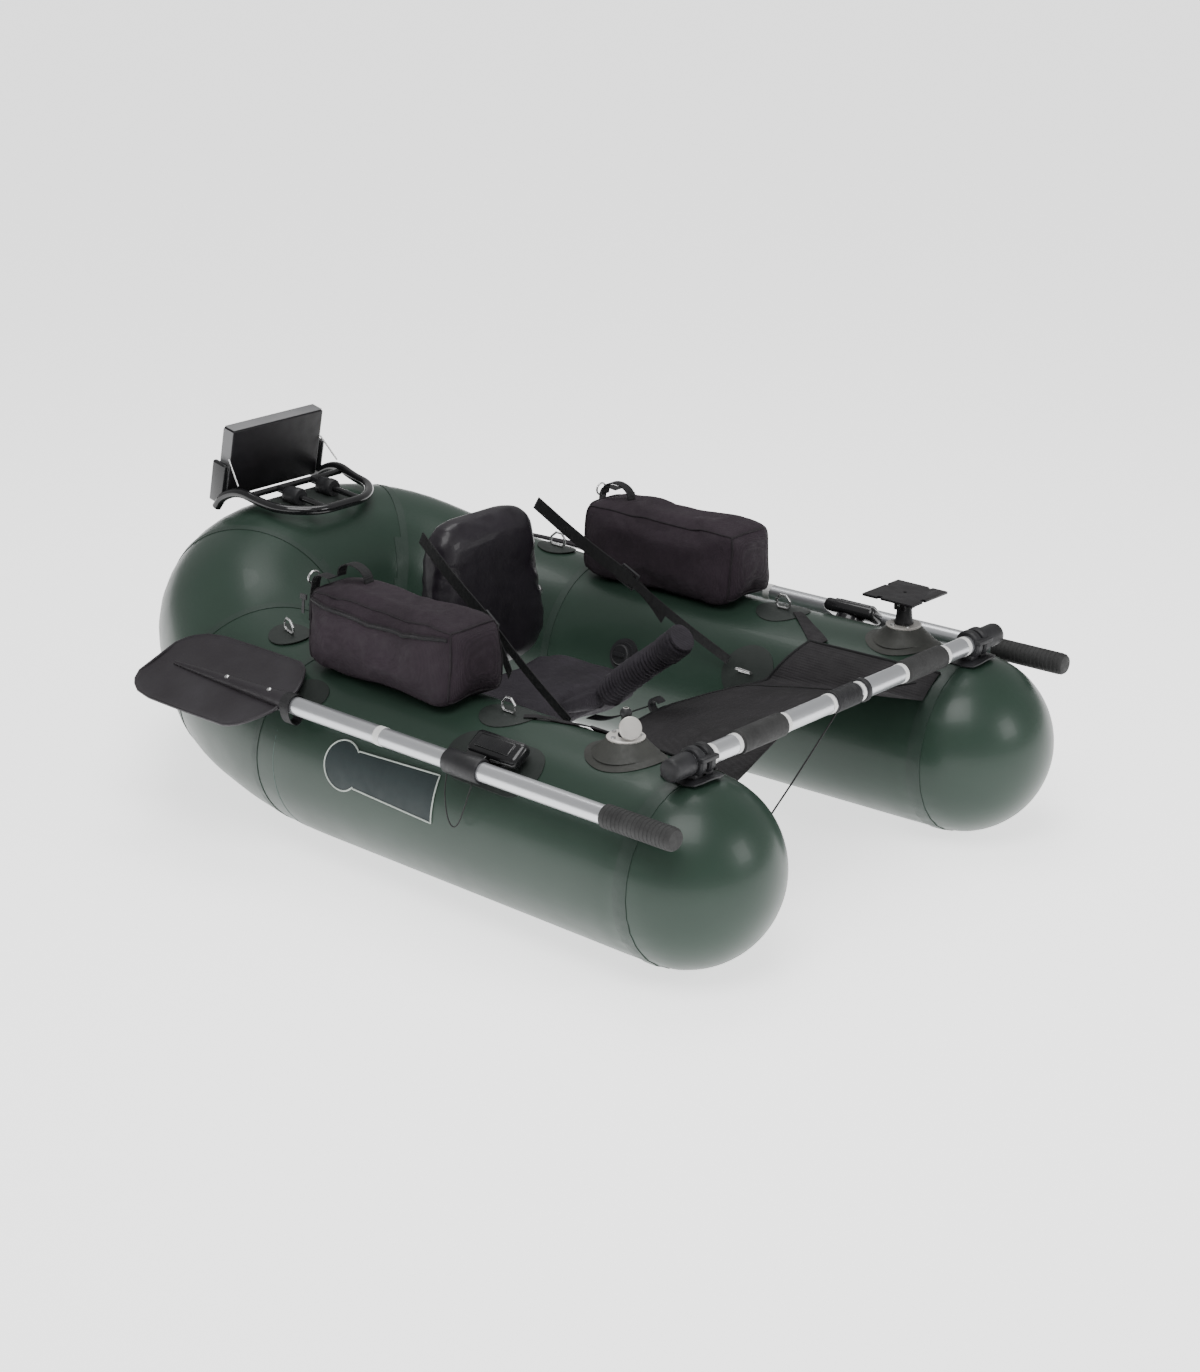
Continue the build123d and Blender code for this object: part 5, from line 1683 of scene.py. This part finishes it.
    def rowlock(self) -> None:
        """Make the rowlock: sleeve, rounded body and the base on its pad."""
        profile = [(-0.039, 0.0164), (-0.039, 0.0195), (-0.036, 0.0212), (0.036, 0.0212), (0.039, 0.0195),
                   (0.039, 0.0164)]
        sleeve = turned("rowlock_sleeve", self.at(0), self.way(), profile, 44)
        x, angle = 0.332, 54.5
        out = self.tube.normal(angle)
        along = self.way()
        turn = Matrix((along, out.cross(along), out)).transposed().to_4x4()
        lump = block("rowlock_body", (0.112, 0.046, 0.0245), self.tube.point(x, angle, 0.0218), turn, 0.0105, 6)
        crest = block("rowlock_crest", (0.078, 0.026, 0.008), self.tube.point(x, angle, 0.0330), turn, 0.0035, 4)
        web_at = self.tube.point(x - 0.028, angle - 10.0, 0.0265)
        web = block("rowlock_web", (0.044, 0.034, 0.010), web_at, turn, 0.002)
        self.on_both(joined("rowlock_swivel_left", [lump, crest, web]), GLOSS_BLACK, "black_plastic", "rowlock",
                     "rowlock_sleeve")
        self.on_both(sleeve, BLACK_PLASTIC, "black_plastic", "rowlock")
        self.keeper()
        foot = [(-0.003, 0.0), (-0.003, 0.0275), (0.0065, 0.0270), (0.0088, 0.0245), (0.0089, 0.0)]
        base = turned("rowlock_base_left", self.tube.point(x, angle, 0.0), out, foot, 44)
        both_sides(base, GLOSS_BLACK, ("rowlock_bases",))

    def keeper(self) -> None:
        """Make the keeper strap that hangs round the shaft beside the blade."""
        x = -0.420
        ring = []
        for i in range(28):
            turn = math.tau * i / 28
            drop = 0.016 if math.sin(turn) < 0 else 0.0
            ring.append(self.at(x, 0.0192 * math.cos(turn), 0.0188 * math.sin(turn) - drop * abs(math.sin(turn))))
        way = self.way()
        band = ribbon("oar_keeper_left", [*ring, ring[0]], lambda share: way, 0.022, 0.0016, 60)
        self.on_both(band, WEBBING, "webbing", "oar")


@dataclass
class NoseMounts:
    """The accessory mounts on both noses: tray to port, post and lock knob to starboard."""

    x: float = 0.513
    y: float = 0.3747
    top: float = 0.350

    def build(self) -> None:
        """Make and dress both mounts."""
        tube = port_pontoon()

        def cone(u: float, v: float) -> Vector:
            """Return the point for a place in the mount's foot."""
            turn, share = math.pi * (u + 1), (v + 1) / 2
            if share < 0.22:
                low = share / 0.22
                lap, squash, rise = 0.070 - 0.014 * low, 0.886, 0.0015 + 0.0045 * low
            else:
                high = (share - 0.22) / 0.78
                lap, squash, rise = 0.056 - 0.026 * high ** 0.8, 1.0, 0.006 + 0.021 * high
            x, across = lap * math.cos(turn), lap * squash * math.sin(turn)
            fall = tube.radius - math.sqrt(max(0.0, tube.radius ** 2 - across * across))
            return Vector((self.x + x, self.y - across, 0.320 + rise - fall * (1 - share) ** 1.2))

        foot = sheet("mount_foot_left", 64, 30, cone, 0.0)
        both_sides(foot, GREY_RUBBER, ("mount_bases",))
        base = Vector((self.x, self.y, self.top))
        up = Vector((0, 0, 1))
        plate = [(-0.004, 0.0), (-0.004, 0.0305), (-0.0012, 0.0318), (0.0004, 0.0300), (0.0006, 0.0285),
                 (0.0006, 0.0)]
        both_sides(turned("mount_flange_left", base, up, plate, 52), WHITE_METAL, ("mount_flanges",))
        self.tray(base, up)
        self.post(Vector((self.x, -self.y, self.top)), up)

    def tray(self, base: Vector, up: Vector) -> None:
        """Make the notched tray on its tilting neck."""
        profile = [(0.0004, 0), (0.0004, 0.0170), (0.006, 0.0172), (0.010, 0.0150), (0.026, 0.0135),
                   (0.030, 0.0150), (0.034, 0.0150), (0.038, 0.0)]
        neck = turned("tray_neck", base, up, profile, 40)
        drum = [(-0.011, 0), (-0.011, 0.0118), (0.011, 0.0118), (0.011, 0)]
        barrel = turned("tray_barrel", base + up * 0.038, Vector((0, 1, 0)), drum, 36)
        present(joined("tray_swivel", [neck, barrel]), BLACK_PLASTIC, "tray_swivel", ("tray_neck",))
        centre = Vector((self.x, self.y, 0.4055))
        plate = block("tray_plate", (0.108, 0.108, 0.005), centre, None, 0.0012, 2)
        cuts = []
        for c, s in ((1, 0), (0, 1), (-1, 0), (0, -1)):
            spot = centre + Vector((0.052 * c + 0.018 * s, 0.052 * s - 0.018 * c, 0))
            turn = Matrix.Rotation(math.atan2(s, c), 4, "Z")
            cuts.append(block("tray_cut", (0.0095, 0.009, 0.02), spot, turn, 0.0005))
        cuts.append(turned("tray_bore", centre, up, [(-0.01, 0), (-0.01, 0.0032), (0.01, 0.0032), (0.01, 0)], 20))
        for cut in cuts:
            modify(plate, "BOOLEAN", object=cut, operation="DIFFERENCE", solver="EXACT")
            bpy.data.objects.remove(cut, do_unlink=True)
        ears = [block("tray_ear", (0.024, 0.005, 0.028), Vector((self.x, self.y + dy, 0.3915)), None, 0.002)
                for dy in (-0.0142, 0.0142)]
        present(joined("tray_top", [plate, *ears]), BOARD, "tray", ("instrument_tray",))

    def post(self, base: Vector, up: Vector) -> None:
        """Make the rod post with its ball, and the lock knob beside it."""
        profile = [(0.0004, 0), (0.0004, 0.0130), (0.003, 0.0132), (0.007, 0.0100), (0.030, 0.0072), (0.034, 0.0)]
        stem = turned("rod_post_stem", base, up, profile, 36)
        present(stem, BLACK_PLASTIC, "rod_post", ("rod_post",))
        profile = [(-0.0095, 0), (-0.009, 0.004), (-0.006, 0.0082), (0, 0.0099), (0.005, 0.0087),
                   (0.0085, 0.005), (0.0098, 0)]
        ball = turned("rod_post_ball", base + up * 0.038, up, profile, 36)
        present(ball, BLACK_PLASTIC, "rod_post")
        # The small pale metal cap on top of the ball is a painted highlight: it stands for the glint of light on the
        # black knob's top.
        profile = [(-0.001, 0), (-0.001, 0.0050), (0.0012, 0.0046), (0.002, 0)]
        cap = turned("rod_post_painted_highlight", base + up * 0.0455, up, profile, 28)
        present(cap, WHITE_METAL, "rod_post")
        at, axis = Vector((0.5321, -0.3862, 0.370)), Vector((0.7948, -0.4775, 0.3746))
        profile = [(-0.003, 0), (-0.003, 0.0180), (-0.0015, 0.0189), (0.0015, 0.0189), (0.0028, 0.0178),
                   (0.0030, 0.0100), (0.0022, 0.0)]
        disc = turned("lock_knob", at, axis, profile, 44)
        present(disc, WHITE_METAL, "lock_knob", ("lock_knob",))


@dataclass
class Stern:
    """The motor board on its frame of bent tube."""

    foot: Vector = field(default_factory=lambda: Vector((-0.736, 0, 0.453)))
    size: Vector = field(default_factory=lambda: Vector((0.030, 0.232, 0.140)))
    rake: float = 12.0

    def build(self) -> None:
        """Make and dress the board and the frame."""
        turn = Matrix.Rotation(math.radians(self.rake), 4, "Y")
        up = turn @ Vector((0, 0, 1))
        ahead = turn @ Vector((1, 0, 0))
        centre = self.foot + up * (self.size.z / 2)
        core = block("motor_board", tuple(self.size - Vector((0, 0.003, 0.003))), centre, turn, 0.003, 4)
        present(core, BOARD, nodes=("motor_board",))
        top = block("board_top_edge", (0.0268, 0.226, 0.0016), centre + up * 0.0696, turn, 0.0006, 2)
        present(top, BOARD_EDGE)
        side_at = centre + Vector((0, 0.1152, 0))
        side = block("board_side_edge_left", (0.0268, 0.0016, 0.132), side_at, turn, 0.0006, 2)
        both_sides(side, BOARD_EDGE)
        low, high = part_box("board_brackets")
        cheek = block("board_bracket_left", (0.036, 0.011, min(0.120, (high - low).z * 0.8)),
                      self.foot + up * 0.030 + Vector((0, 0.1245, 0)) - ahead * 0.002, turn, 0.004, 3)
        both_sides(cheek, BLACK_TUBE, ("board_brackets",))
        self.frame()
        self.lugs()

    def frame(self) -> None:
        """Bend the frame's tube and lay its cross pieces."""
        half = [(-0.520, 0.062, 0.453), (-0.568, 0.116, 0.457), (-0.620, 0.121, 0.463), (-0.670, 0.127, 0.477),
                (-0.718, 0.128, 0.459), (-0.736, 0.1285, 0.435)]
        line = [(x, -y, z) for x, y, z in reversed(half)] + [(-0.520, 0.0, 0.453)] + half
        tubes = [sweep("frame_hoop", softened([Vector(p) for p in line], 3), 0.0090, 20)]
        cross = [Vector((-0.658, y, 0.467)) for y in (-0.124, 0.124)]
        tubes.append(sweep("frame_cross", cross, 0.006, 16))
        tubes += [sweep("frame_rod", [Vector((-0.524, y, 0.455)), Vector((-0.658, y, 0.467))], 0.006, 16)
                  for y in (-0.043, 0.043)]
        present(joined("stern_tubes", tubes), BLACK_TUBE, nodes=("stern_frame",))

    def lugs(self) -> None:
        """Roll the two strap lugs that hold the frame to the stern tube."""
        low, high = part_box("stern_lugs")
        middle = (low + high) / 2
        profile = [(-0.019, 0), (-0.019, 0.0150), (-0.016, 0.0172), (-0.006, 0.0180), (0.0, 0.0172), (0.006, 0.0180),
                   (0.016, 0.0172), (0.019, 0.0150), (0.019, 0)]
        both_sides(turned("stern_lug_left", Vector((middle.x, 0.043, 0.461)), Vector((1, 0, 0.02)), profile, 36),
                   BLACK_PLASTIC, ("stern_lugs",))



def corners(box) -> list[list[float]]:
    """Return a box's two corners as plain numbers."""
    return [[float(x) for x in corner] for corner in box]


def main() -> None:
    """Build the boat round its frame."""
    logging.basicConfig(level=logging.INFO, format="%(name)s: %(message)s")
    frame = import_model()
    cad_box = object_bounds()
    deselect()
    tube = port_pontoon()
    Studio().build()
    Cords().build()
    Hull(tube).build()
    Seat().build()
    Bags(tube).build()
    Apron(tube).build()
    FrontBar().build()
    Oars(tube).build()
    NoseMounts().build()
    Stern().build()
    repaint(frame, DARK_PVC, "ring_patches", "oar_pads", "stern_patch")
    repaint(frame, STEEL, "d_rings", "flange_screws", "board_stays", "tray_pin")
    repaint(frame, BLACK_PLASTIC, "valve_bodies", "valve_cap_left", "valve_cap_right", "apron_clip", "cord_eye")
    repaint(frame, BLACK_PLASTIC, "zip_slider_left", "zip_slider_right")
    {"cad": corners(cad_box), "visual": corners(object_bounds())}


if __name__ == "__main__":
    main()
